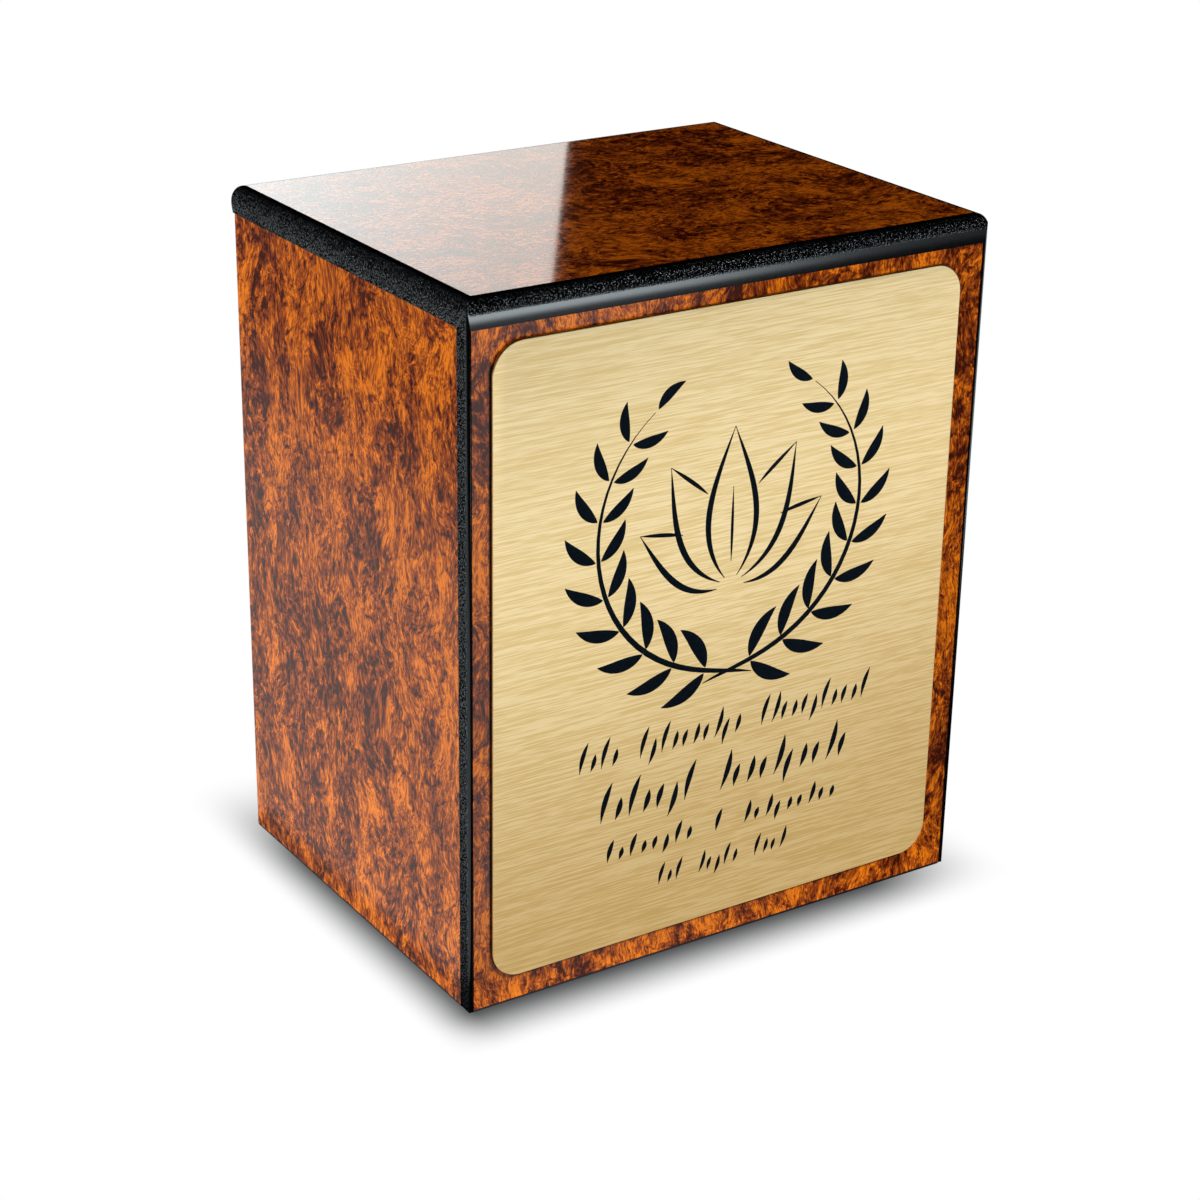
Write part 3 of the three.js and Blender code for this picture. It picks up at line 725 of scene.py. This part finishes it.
def bowed(start, stop, bulge, share):
    """Paths from one set of points to another that bow to their left by bulge times their length."""
    run = (stop - start)[:, None, :]
    rise = (4.0 * bulge[:, None] * share * (1.0 - share))[..., None]
    left = np.stack([-run[..., 1], run[..., 0]], axis=-1)
    return start[:, None, :] + run * share[None, :, None] + left * rise


def pen_widths(width, peak, share):
    """Half widths along strokes that swell to their full width at peak and taper to blunt tips."""
    skew = math.log(0.5) / math.log(peak)
    full = np.clip(np.sin(np.pi * share ** skew), 0.0, None) ** SWELL
    return np.maximum(np.asarray(width)[:, None] / 2.0 * full, TIP)


def stem_points(sign, share):
    """Points of a stem: an arc of a circle that droops where it starts."""
    angle = np.radians(SPRAY["start"] + SPRAY["sweep"] * share)
    droop = SPRAY["droop"] * (1.0 - share) ** SPRAY["fade"]
    across = sign * SPRAY["radius"] * np.cos(angle)
    return np.stack([across, SPRAY["height"] + SPRAY["radius"] * np.sin(angle) - droop], axis=-1)


def spray_strokes(sign, share):
    """A stem, and leaves that splay from it in pairs with one at its end."""
    pairs = LEAF["pairs"]
    place = np.concatenate([np.arange(pairs), np.arange(pairs), [pairs]]) / pairs
    turn = np.concatenate([np.ones(pairs), -np.ones(pairs), [0.0]])
    at = LEAF["first"] + (1.0 - LEAF["first"]) * place
    step = 1e-3
    ahead = stem_points(sign, np.minimum(at + step, 1.0)) - stem_points(sign, at - step)
    angle = np.arctan2(ahead[:, 1], ahead[:, 0]) + turn * math.radians(LEAF["splay"])
    way = np.stack([np.cos(angle), np.sin(angle)], axis=-1)
    length = np.interp(place, (0.0, 1.0), LEAF["lengths"])[:, None]
    base = stem_points(sign, at)
    bulge = np.where(turn == 0.0, 1.0, turn) * LEAF["bulge"]
    leaves = bowed(base + LEAF["clear"] * way, base + length * way, bulge, share)
    widths = np.interp(place, (0.0, 1.0), LEAF["widths"])
    stem = stem_points(sign, share)[None]
    return [(stem, pen_widths([SPRAY["width"]], SPRAY["peak"], share)),
            (leaves, pen_widths(widths, LEAF["peak"], share))]


def petal_edge(petal, lean, side, first, last, width, share):
    """One edge of a petal, which bellies to one side of its middle line."""
    angle = math.radians(90.0 - lean)
    along = first + (last - first) * share
    belly = petal["belly"] * np.sin(np.pi * along ** PETAL["skew"]) * (1.0 - PETAL["thin"] * along)
    aside, far = side * belly, petal["length"] * along
    path = np.stack([far * math.cos(angle) + aside * math.sin(angle),
                     PETAL["root"] + far * math.sin(angle) - aside * math.cos(angle)], axis=-1)
    return path[None], pen_widths([width], PETAL["peak"], share)


def lily_strokes(share):
    """A lily of pointed petals. Those behind show only the clear part of their inner edge."""
    strokes = []
    for petal in PETALS:
        for side in (1, -1):
            lean = side * petal["lean"]
            strokes.append(petal_edge(petal, lean, side, petal["outer"], 1.0, PETAL["outer_width"], share))
            if petal["inner"]:
                width = PETAL["inner_width"]
                strokes.append(petal_edge(petal, lean, -side, petal["inner"], 1.0, width, share))
    straight = {**PETALS[0], "belly": 0.0}
    strokes.append(petal_edge(straight, 0.0, 1, VEIN["first"], VEIN["last"], VEIN["width"], share))
    return strokes


def row_strokes(row, share):
    """A row of slanted strokes in groups."""
    groups = np.array(row["groups"])
    pitch = 2.0 * row["half"] / (groups.sum() + ROW["space"] * (groups.size - 1))
    number = np.arange(groups.sum())
    group = np.repeat(np.arange(groups.size), groups)
    opening = number == np.repeat(np.cumsum(groups) - groups, groups)
    across = pitch * (0.5 + number + ROW["space"] * group) - row["half"]
    rise = row["cap"] * np.where(opening, 1.0, ROW_RISES[number % ROW_RISES.size])
    drop = row["cap"] * ROW["drop"] * (number % ROW["drop_every"] == ROW["drop_at"])
    low = np.stack([across - drop * ROW["slant"], row["foot"] - drop], axis=-1)
    high = np.stack([across + rise * ROW["slant"], row["foot"] + rise], axis=-1)
    bulge = np.where(number % 2 == 0, ROW["bulge"], -ROW["bulge"])
    widths = np.full(number.size, ROW["least"] + ROW["spread"] * pitch)
    return [(bowed(low, high, bulge, share), pen_widths(widths, ROW["peak"], share))]


def stroke_fill(settings, material):
    """All strokes as one piece: each is a low crown carried along its path, as wide as the pen made it."""
    share = np.linspace(0.0, 1.0, settings.steps + 1)
    strokes = [*spray_strokes(1, share), *spray_strokes(-1, share), *lily_strokes(share)]
    for row in ROWS:
        strokes.extend(row_strokes(row, share))
    path = np.concatenate([paths for paths, _ in strokes])
    half = np.concatenate([widths for _, widths in strokes])
    ahead = np.gradient(path, axis=1)
    ahead /= np.linalg.norm(ahead, axis=-1, keepdims=True)
    across = np.array([-1.0, -0.8, 0.0, 0.8, 1.0, 1.0, -1.0])
    rise = np.array([0.0, 0.8, 1.0, 0.8, 0.0, 0.0, 0.0]) * settings.proud
    rise[-2:] = -settings.sunk
    aside = half[..., None] * across
    x = PLATE_MIDDLE.x + MM * (path[..., 0:1] - ahead[..., 1:2] * aside)
    z = PLATE_MIDDLE.z + MM * (path[..., 1:2] + ahead[..., 0:1] * aside)
    y = PLATE_LOW.y - LIFT - rise + 0.0 * x
    mesh, _, _ = ring_mesh("plaque_strokes", np.stack([x, y, z], axis=-1))
    piece = finish_piece("plaque_strokes", mesh, material)
    return piece


def plate_outline(inset, settings):
    """Outline of the plate, moved in by inset: a rectangle with quarter circles at its corners."""
    angle = np.linspace(0.0, np.pi / 2, 17)
    turns = np.arange(4)[:, None] * np.pi / 2
    swept = (turns + angle).ravel()
    sign_x = np.repeat([1.0, -1.0, -1.0, 1.0], angle.size)
    sign_z = np.repeat([1.0, 1.0, -1.0, -1.0], angle.size)
    radius = settings.corner - inset
    x = sign_x * (PLATE_SIZE.x / 2 - settings.corner) + radius * np.cos(swept)
    z = sign_z * (PLATE_SIZE.z / 2 - settings.corner) + radius * np.sin(swept)
    return np.stack([PLATE_MIDDLE.x + x, PLATE_MIDDLE.z + z], axis=-1)


def plate(settings, material):
    """The plate: rings of its outline from the back, over a rounded edge, to the flat front. On its map the
    front lies flat with the edge unrolled round it, and the back lies small beside it."""
    angle = np.linspace(0.0, np.pi / 2, 5)
    inset = np.concatenate([[0.0], settings.bevel * (1.0 - np.cos(angle))])
    level = np.concatenate([[PLATE_HIGH.y], PLATE_LOW.y + settings.bevel * (1.0 - np.sin(angle))])
    outlines = np.stack([plate_outline(value, settings) for value in inset])
    y = np.broadcast_to(level[:, None], outlines.shape[:2])
    points = np.stack([outlines[..., 0], y, outlines[..., 1]], axis=-1)
    mesh, quads, (back, front) = ring_mesh("plaque_plate", points[None])
    unrolled = np.concatenate([[0.0], np.cumsum(np.hypot(np.diff(inset), np.diff(level)))])
    spread = np.stack([plate_outline(far - unrolled[-1], settings) for far in unrolled]).reshape(-1, 2)
    margin, spare = 2 * MM, 1.04
    corner = np.array([PLATE_LOW.x, PLATE_LOW.z]) - margin
    flat = (spread - corner) / (spare * PLATE_SIZE.z)
    back_scale, back_place = 0.15, np.array([0.84, 0.02])
    flat_back = flat[back] * back_scale + back_place
    fill_map(mesh, np.concatenate([flat[quads.ravel()], flat_back, flat[front]]))
    piece = finish_piece("plaque_plate", mesh, material, math.radians(50))
    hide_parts("plaque")
    return piece


# Stage

# Lamps for the boards, which polished faces don't mirror: place, size, power and colour
WHITE = (1.0, 1.0, 1.0)
LAMPS = {
    "left": ((-1.2, -0.2, 0.16), (0.9, 0.25), 7.0, WHITE),
    "right": ((0.68, -0.55, 0.14), (0.3, 0.25), 0.5, WHITE),
    "key": ((0.67, -1.09, 1.24), (0.38, 0.38), 26.5, WHITE),
    "top": ((0.0, 0.3, 1.6), (1.2, 1.2), 6.2, (1.0, 0.86, 0.9)),
}
LAMP_AIM = (0.0, 0.0, 0.11)
# Sheets of light low on the floor: middle, size, turn, brightness, and the pieces that they reach
EDGE_SHEETS = {
    "edge_left": ((-0.535, 0.25), (0.87, 1.2), 0.0, 0.95, ("lip_left", "post_left")),
    "edge_back": ((0.10, 0.85), (1.6, 0.9), 0.0, 2.0, ("lip_back",)),
    "edge_right": ((0.72, 0.10), (0.7, 1.0), 0.0, 1.6, ("lip_right", "post_right")),
    "edge_line": ((0.33, -0.30), (0.22, 0.10), math.radians(-30), 5.0, ("post_",)),
}
SHEET_LIFT = 4 * MM
# Small lamps that make the pebbles glint: place, and the piece that they reach
GLINTS = {
    "glint_front": ((0.75, -1.1, 0.75), "lip_front"),
    "glint_left": ((-1.0, 0.95, 0.20), "lip_left"),
    "glint_high": ((0.45, -0.75, 1.35), "lip_front"),
}
GLINT_SIZE, GLINT_POWER = (0.16, 0.08), 1.5
# Lamp behind the box for the plate's upper edge
RIM_PLACE, RIM_SIZE, RIM_POWER = (0.5, 0.8, 0.7), (0.6, 0.6), 4.0
FRONT_SLANT = -0.655  # sideways run, for each metre ahead, of the lines along which the shine fades
# What the boards mirror of the floor: in front from left to right, and on the left from near to far
SHINE_FRONT = (1.24, 1.22, 1.22), (0.05, 0.05, 0.05)
SHINE_LEFT = (0.54, 0.59, 0.59), (0.12, 0.12, 0.13)
# The painted shadow's limits, from the box's sides, each with its half width of softness
SHADOW_LEFT, SHADOW_RIGHT = (5.8 * MM, 9.6 * MM), (-6.0 * MM, 27 * MM)
SHADOW_FRONT, SHADOW_BACK = (9.1 * MM, 12.2 * MM), (0.0, 38 * MM)
# The glow in the brass, far from the box and close to it
GLOW_FAR, GLOW_NEAR = (1.28, 1.26, 1.26), (0.73, 0.62, 0.47)
# The card's colours from left to right, and the line on the top where its edge is mirrored
CARD_COLOURS = (1.44, 1.70, 1.78), (0.81, 0.77, 0.72)
CARD_LINE = Vector((-61.6 * MM, -68.5 * MM, HEIGHT)), Vector((32.2 * MM, 72.3 * MM, HEIGHT))


def pointing(origin, target, roll=0.0):
    """A placement at origin that looks at target along its own -Z, with its +Y up, rolled about its view."""
    turn = (target - origin).to_track_quat("-Z", "Y").to_matrix().to_4x4()
    return Matrix.Translation(origin) @ turn @ Matrix.Rotation(roll, 4, "Z")


def camera_place(settings):
    """Where the camera stands: from its aim along a bearing from the front and a height, both as angles."""
    flat = math.cos(settings.elevation)
    way = Vector((math.sin(settings.azimuth) * flat, -math.cos(settings.azimuth) * flat,
                  math.sin(settings.elevation)))
    return Vector(settings.aim) + settings.distance * way


def soft_light(name, origin, target, size, power, colour=WHITE):
    """A rectangular light that the camera doesn't see."""
    data = bpy.data.lights.new(name, "AREA")
    data.shape = "RECTANGLE"
    data.size, data.size_y = size
    data.energy = power
    data.color = colour
    light = new_object(name, data)
    light.matrix_world = pointing(Vector(origin), Vector(target))
    light.visible_camera = False
    return light


def floor_sheet(name, centre, size, turn, brightness):
    """A sheet of light that lies just over the floor and shines up, turned about the vertical."""
    power = brightness * math.pi * size[0] * size[1]
    light = soft_light(name, (0.0, 0.0, 0.0), (0.0, 0.0, 1.0), size, power, COOL)
    place = Matrix.Translation((*centre, SHEET_LIFT))
    light.matrix_world = place @ Matrix.Rotation(turn, 4, "Z") @ Matrix.Rotation(math.pi, 4, "X")
    return light


def light_nodes(light):
    """A light's node tree, its emission, and the places on it."""
    light.data.use_nodes = True
    tree = light.data.node_tree
    return tree, tree.nodes["Emission"], tree.nodes.new("ShaderNodeNewGeometry").outputs["Position"]


def reach_only(light, pieces, state="INCLUDE"):
    """Lets a light, or a thing that glows, reach these pieces alone, or all but these."""
    reached = bpy.data.collections.new(light.name + "_reach")
    for piece in pieces:
        reached.objects.link(piece)
    for entry in reached.collection_objects:
        entry.light_linking.link_state = state
    light.light_linking.receiver_collection = reached


def pieces_named(*starts):
    """All pieces whose names start in one of these ways."""
    pieces = [thing for thing in bpy.context.scene.objects if thing.type == "MESH"]
    return [piece for piece in pieces if piece.name.startswith(starts)]


def board_lamps():
    """Lamps for the boards: a key for the front and plaque, one for the top, two for the other sides."""
    front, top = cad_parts["front_panel"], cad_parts["top_panel"]
    reach = {
        "left": ([front], "EXCLUDE"),
        "right": ([front], "EXCLUDE"),
        "key": ([front, *pieces_named("plaque_")], "INCLUDE"),
        "top": ([top], "INCLUDE"),
    }
    for name, (origin, *values) in LAMPS.items():
        lamp = soft_light(name, origin, LAMP_AIM, *values)
        lamp.visible_glossy = False
        reach_only(lamp, *reach[name])


def edge_lights():
    """Lights that show as soft lines on the black mouldings alone: sheets low on the floor, and small lamps
    that make the pebbles glint."""
    corner = (-HALF_WIDTH, -HALF_DEPTH, HEIGHT)
    lights = [(floor_sheet(name, *values), pieces) for name, (*values, pieces) in EDGE_SHEETS.items()]
    for name, (origin, piece) in GLINTS.items():
        lights.append((soft_light(name, origin, corner, GLINT_SIZE, GLINT_POWER, COOL), (piece,)))
    lights.append((front_sheet(), ("lip_front",)))
    for light, pieces in lights:
        light.visible_diffuse = False
        reach_only(light, pieces_named(*pieces))


def front_axes(tree, place):
    """How far a place on the floor lies ahead of the front, and how far right it lies on lines that slant
    away from the box."""
    axes = axes_of(tree, place)
    ahead = maths(tree, "SUBTRACT", -HALF_DEPTH, axes["Y"])
    return ahead, maths(tree, "MULTIPLY_ADD", ahead, FRONT_SLANT, axes["X"])


def front_sheet():
    """A wide sheet of light on the floor in front. It fades to the right as the floor's own shine does, and
    towards the box, so that the front moulding shows a bright line with a dim one below it."""
    size, gap, middle, bright, dim = (3.0, 1.8), 0.12, 0.6, 8.6, 0.2
    sheet = floor_sheet("edge_front", (middle, -HALF_DEPTH - gap - size[1] / 2), size, 0.0, 1.0)
    tree, emission, place = light_nodes(sheet)
    ahead, slanted = front_axes(tree, place)
    across = remap(tree, slanted, -0.06, 0.13, bright, dim)
    strength = maths(tree, "MULTIPLY", across, remap(tree, ahead, 0.34, 0.52, 0.06, 1.0))
    feed(tree, emission, {"Strength": strength})
    return sheet


def plate_glow():
    """A broad sheet of light on the floor in front, which shows in the brass alone, dimmer and warmer close
    in, and a lamp behind that lights the plate's upper edge."""
    size, lift, middle, near_reach = (5.0, 3.0), 3 * MM, 0.5, 0.36
    level = -HALF_DEPTH - size[1] / 2
    power = math.pi * size[0] * size[1]
    sheet = soft_light("plate_glow", (middle, level, lift), (middle, level, 1.0), size, power)
    tree, emission, place = light_nodes(sheet)
    near = remap(tree, axes_of(tree, place)["Y"], -HALF_DEPTH - near_reach, -HALF_DEPTH)
    feed(tree, emission, {"Color": mixed(tree, near, rgba(GLOW_FAR), rgba(GLOW_NEAR))})
    behind = soft_light("plate_edge", RIM_PLACE, (0.0, -HALF_DEPTH, HEIGHT), RIM_SIZE, RIM_POWER)
    for light in (sheet, behind):
        reach_only(light, pieces_named("plaque_plate"))


def floor_shine(tree, place):
    """What polished boards mirror of the floor. In front it fades to the right, along lines that slant away
    from the box, and on the left it fades with distance. Close to the box it is dark."""
    axes = axes_of(tree, place)
    ahead, slanted = front_axes(tree, place)
    aside = maths(tree, "SUBTRACT", -HALF_WIDTH, axes["X"])
    front = mixed(tree, remap(tree, slanted, -0.06, 0.07), *map(rgba, SHINE_FRONT))
    left = mixed(tree, remap(tree, aside, 0.12, 0.28), *map(rgba, SHINE_LEFT))
    shine = mixed(tree, remap(tree, ahead, -0.02, 0.0), left, front)
    behind = maths(tree, "SUBTRACT", axes["Y"], HALF_DEPTH)
    past_right = maths(tree, "SUBTRACT", axes["X"], HALF_WIDTH)
    right = maths(tree, "MINIMUM", past_right, maths(tree, "MULTIPLY", ahead, -1.0))
    beyond = maths(tree, "MAXIMUM", maths(tree, "MAXIMUM", aside, behind), right)
    # Dark close to the box: painted shade in the floor's glow that reflections see
    far_front = remap(tree, ahead, 0.0, 0.06, 0.35, 1.0)
    far = maths(tree, "MAXIMUM", far_front, remap(tree, beyond, 0.0, 0.012, 0.1, 1.0))
    return mixed(tree, far, rgba((0.0, 0.0, 0.0)), shine)


def soft_band(tree, value, half, low_limit, high_limit):
    """1 within half of the middle and 0 outside. Each limit is moved out by its first number, and softened
    to both sides by its second."""
    (low_out, low_soft), (high_out, high_soft) = low_limit, high_limit
    low, high = -half - low_out, half + high_out
    rise = remap(tree, value, low - low_soft, low + low_soft)
    return maths(tree, "MULTIPLY", rise, remap(tree, value, high + high_soft, high - high_soft))


def box_shadow(tree, place):
    """The shadow under the box: a rectangle that reaches out a little to the front and the left, where its
    edges are sharper than to the right and behind."""
    # The shadow is painted into the floor's colour: a soft rectangle, cast by no lamp
    axes = axes_of(tree, place)
    across = soft_band(tree, axes["X"], HALF_WIDTH, SHADOW_LEFT, SHADOW_RIGHT)
    along = soft_band(tree, axes["Y"], HALF_DEPTH, SHADOW_FRONT, SHADOW_BACK)
    return maths(tree, "MULTIPLY", across, along)


def floor_bounce(tree, place, settings):
    """What the floor throws up on to the boards: little in front, where the key light is."""
    soft = 0.02
    front = remap(tree, axes_of(tree, place)["Y"], -HALF_DEPTH, -HALF_DEPTH - soft)
    return mixed(tree, front, rgba([settings.bounce] * 3), rgba([settings.front_bounce] * 3))


def glowing_quad(name, corners):
    """A flat thing with four corners that gives off light, with its node tree, emission and places."""
    mesh = bpy.data.meshes.new(name)
    mesh.from_pydata([tuple(corner) for corner in corners], [], [(0, 1, 2, 3)])
    material, tree, _, place = new_material(name)
    mesh.materials.append(material)
    emission = tree.nodes.new("ShaderNodeEmission")
    tree.links.new(emission.outputs[0], tree.nodes["Material Output"].inputs["Surface"])
    return new_object(name, mesh), tree, emission, place


def studio_floor(settings):
    """A wide pale floor that glows evenly, with a shadow painted into its glow where the box stands close
    over it.
    """
    half = 4.0
    corners = [(-half, -half, 0.0), (half, -half, 0.0), (half, half, 0.0), (-half, half, 0.0)]
    floor, tree, emission, place = glowing_quad("floor", corners)
    rays = tree.nodes.new("ShaderNodeLightPath").outputs
    seen = mixed(tree, box_shadow(tree, place), rgba(settings.floor), rgba(settings.shade))
    bounce = floor_bounce(tree, place, settings)
    unseen = mixed(tree, rays["Is Glossy Ray"], bounce, floor_shine(tree, place))
    feed(tree, emission, {"Color": mixed(tree, rays["Is Camera Ray"], unseen, seen)})
    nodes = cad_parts.items()
    reach_only(floor, [thing for node, thing in nodes if node.endswith("_panel") or "screw" in node])


def studio_sky(settings):
    """A white backdrop that lights the box faintly and that polished faces don't mirror."""
    world = bpy.data.worlds.new("studio")
    world.use_nodes = True
    tree = world.node_tree
    rays = tree.nodes.new("ShaderNodeLightPath").outputs
    dim = maths(tree, "MULTIPLY", rays["Is Diffuse Ray"], settings.sky)
    strength = maths(tree, "MAXIMUM", rays["Is Camera Ray"], dim)
    feed(tree, tree.nodes["Background"], {"Color": rgba(WHITE), "Strength": strength})
    bpy.context.scene.world = world


def window_card(settings):
    """A tall bright card behind the box, which shows in its polished top and back moulding alone. Its right
    edge stands where the top mirrors it along a line from the front edge to the back."""
    depth, spare, width, fade_width = 1.5, 0.15, 0.5, 0.75
    eye = camera_place(settings)
    edge = []
    for point in CARD_LINE:
        ray = point - eye
        ray.z = -ray.z
        edge.append(point + ray * ((depth - point.y) / ray.y))
    head, foot = edge
    margin = spare * (head - foot).normalized()
    aside = Vector((-width, 0.0, 0.0))
    corners = [foot - margin, head + margin, head + margin + aside, foot - margin + aside]
    card, tree, emission, place = glowing_quad("window_card", corners)
    fade = remap(tree, axes_of(tree, place)["X"], foot.x - fade_width, foot.x)
    feed(tree, emission, {"Color": mixed(tree, fade, *map(rgba, CARD_COLOURS)), "Strength": settings.window})
    card.visible_camera = False
    card.visible_diffuse = False
    reach_only(card, [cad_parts["top_panel"], *pieces_named("lip_back")])


def studio_camera(settings):
    """The camera, at the photograph's bearing."""
    data = bpy.data.cameras.new("camera")
    data.sensor_width = 36.0
    data.lens = settings.lens
    camera = new_object("camera", data)
    camera.matrix_world = pointing(camera_place(settings), Vector(settings.aim), settings.roll)
    bpy.context.scene.camera = camera


# Operators

class URN_OT_boards(bpy.types.Operator):
    """Veneer the five outer boards, each with its own cut of the burl"""

    bl_idname = "urn.boards"
    bl_label = "Veneer Boards"

    def execute(self, context):
        settings = context.scene.urn_veneer
        group = burl_group()
        for node, (turn, slide) in CUTS.items():
            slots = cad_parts[node].data.materials
            slots.clear()
            slots.append(veneer_material("burl_" + node, settings, group, turn, slide))
        return {"FINISHED"}


class URN_OT_base(bpy.types.Operator):
    """Paint the base board and plate its screws"""

    bl_idname = "urn.base"
    bl_label = "Finish Base"

    def execute(self, context):
        paint = base_material()
        steel = screw_material()
        for node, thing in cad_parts.items():
            if node.startswith("base_"):
                thing.data.materials.clear()
                thing.data.materials.append(steel if "screw" in node else paint)
        return {"FINISHED"}


class URN_OT_top_mouldings(bpy.types.Operator):
    """Build the four mouldings round the top"""

    bl_idname = "urn.top_mouldings"
    bl_label = "Top Mouldings"

    def execute(self, context):
        settings = context.scene.urn_mouldings
        material = lacquer_material(settings)
        runs = (
            ("front", HALF_WIDTH, HALF_DEPTH, (POST_FRONT, POST_FRONT), FRONT_PEBBLED),
            ("right", HALF_DEPTH, HALF_WIDTH, (POST_SIDE, 0.0), LIP_TALL),
            ("back", HALF_WIDTH, HALF_DEPTH, (0.0, 0.0), LIP_TALL),
            ("left", HALF_DEPTH, HALF_WIDTH, (0.0, POST_SIDE), LIP_TALL),
        )
        for turn, (side, *sizes) in enumerate(runs):
            top_moulding("lip_" + side, "top_moulding_" + side, turn, *sizes, settings, material)
        return {"FINISHED"}


class URN_OT_corner_mouldings(bpy.types.Operator):
    """Build the two mouldings down the front corners"""

    bl_idname = "urn.corner_mouldings"
    bl_label = "Corner Mouldings"

    def execute(self, context):
        settings = context.scene.urn_mouldings
        material = bpy.data.materials[LACQUER]
        for side, word in ((-1, "left"), (1, "right")):
            corner_moulding("post_" + word, "corner_moulding_" + word, side, settings, material)
        return {"FINISHED"}


class URN_OT_plaque(bpy.types.Operator):
    """Build the brass plate and the black fill of its strokes"""

    bl_idname = "urn.plaque"
    bl_label = "Plaque"

    def execute(self, context):
        settings = context.scene.urn_plaque
        plate(settings, brass_material(settings))
        stroke_fill(settings, fill_material(settings))
        return {"FINISHED"}


class URN_OT_stage(bpy.types.Operator):
    """Set up the floor, the light and the camera"""

    bl_idname = "urn.stage"
    bl_label = "Studio"

    def execute(self, context):
        settings = context.scene.urn_stage
        studio_camera(settings)
        studio_floor(settings)
        studio_sky(settings)
        board_lamps()
        edge_lights()
        plate_glow()
        window_card(settings)
        context.scene.view_settings.view_transform = "Standard"
        return {"FINISHED"}


class URN_PT_panel(bpy.types.Panel):
    """Lists the steps that dress the urn box"""

    bl_idname = "URN_PT_panel"
    bl_label = "Urn Box"
    bl_space_type = "VIEW_3D"
    bl_region_type = "UI"
    bl_category = "Urn"

    def draw(self, context):
        for operator in OPERATORS:
            self.layout.operator(operator.bl_idname)
        for name in SETTINGS:
            box = self.layout.box()
            group = getattr(context.scene, name)
            for label in group.bl_rna.properties.keys():
                if label not in {"rna_type", "name"}:
                    box.prop(group, label)


SETTINGS = {
    "urn_veneer": UrnVeneerSettings,
    "urn_mouldings": UrnMouldingSettings,
    "urn_plaque": UrnPlaqueSettings,
    "urn_stage": UrnStageSettings,
}
OPERATORS = (
    URN_OT_boards, URN_OT_base, URN_OT_top_mouldings, URN_OT_corner_mouldings, URN_OT_plaque, URN_OT_stage)
CLASSES = (*SETTINGS.values(), *OPERATORS, URN_PT_panel)


def register():
    for cls in CLASSES:
        bpy.utils.register_class(cls)
    for name, group in SETTINGS.items():
        setattr(bpy.types.Scene, name, PointerProperty(type=group))


def unregister():
    for name in SETTINGS:
        delattr(bpy.types.Scene, name)
    for cls in reversed(CLASSES):
        bpy.utils.unregister_class(cls)


def main():
    register()
    bpy.ops.urn.boards()
    bpy.ops.urn.base()
    bpy.ops.urn.top_mouldings()
    bpy.ops.urn.corner_mouldings()
    bpy.ops.urn.plaque()
    bpy.ops.urn.stage()


if __name__ == "__main__":
    main()
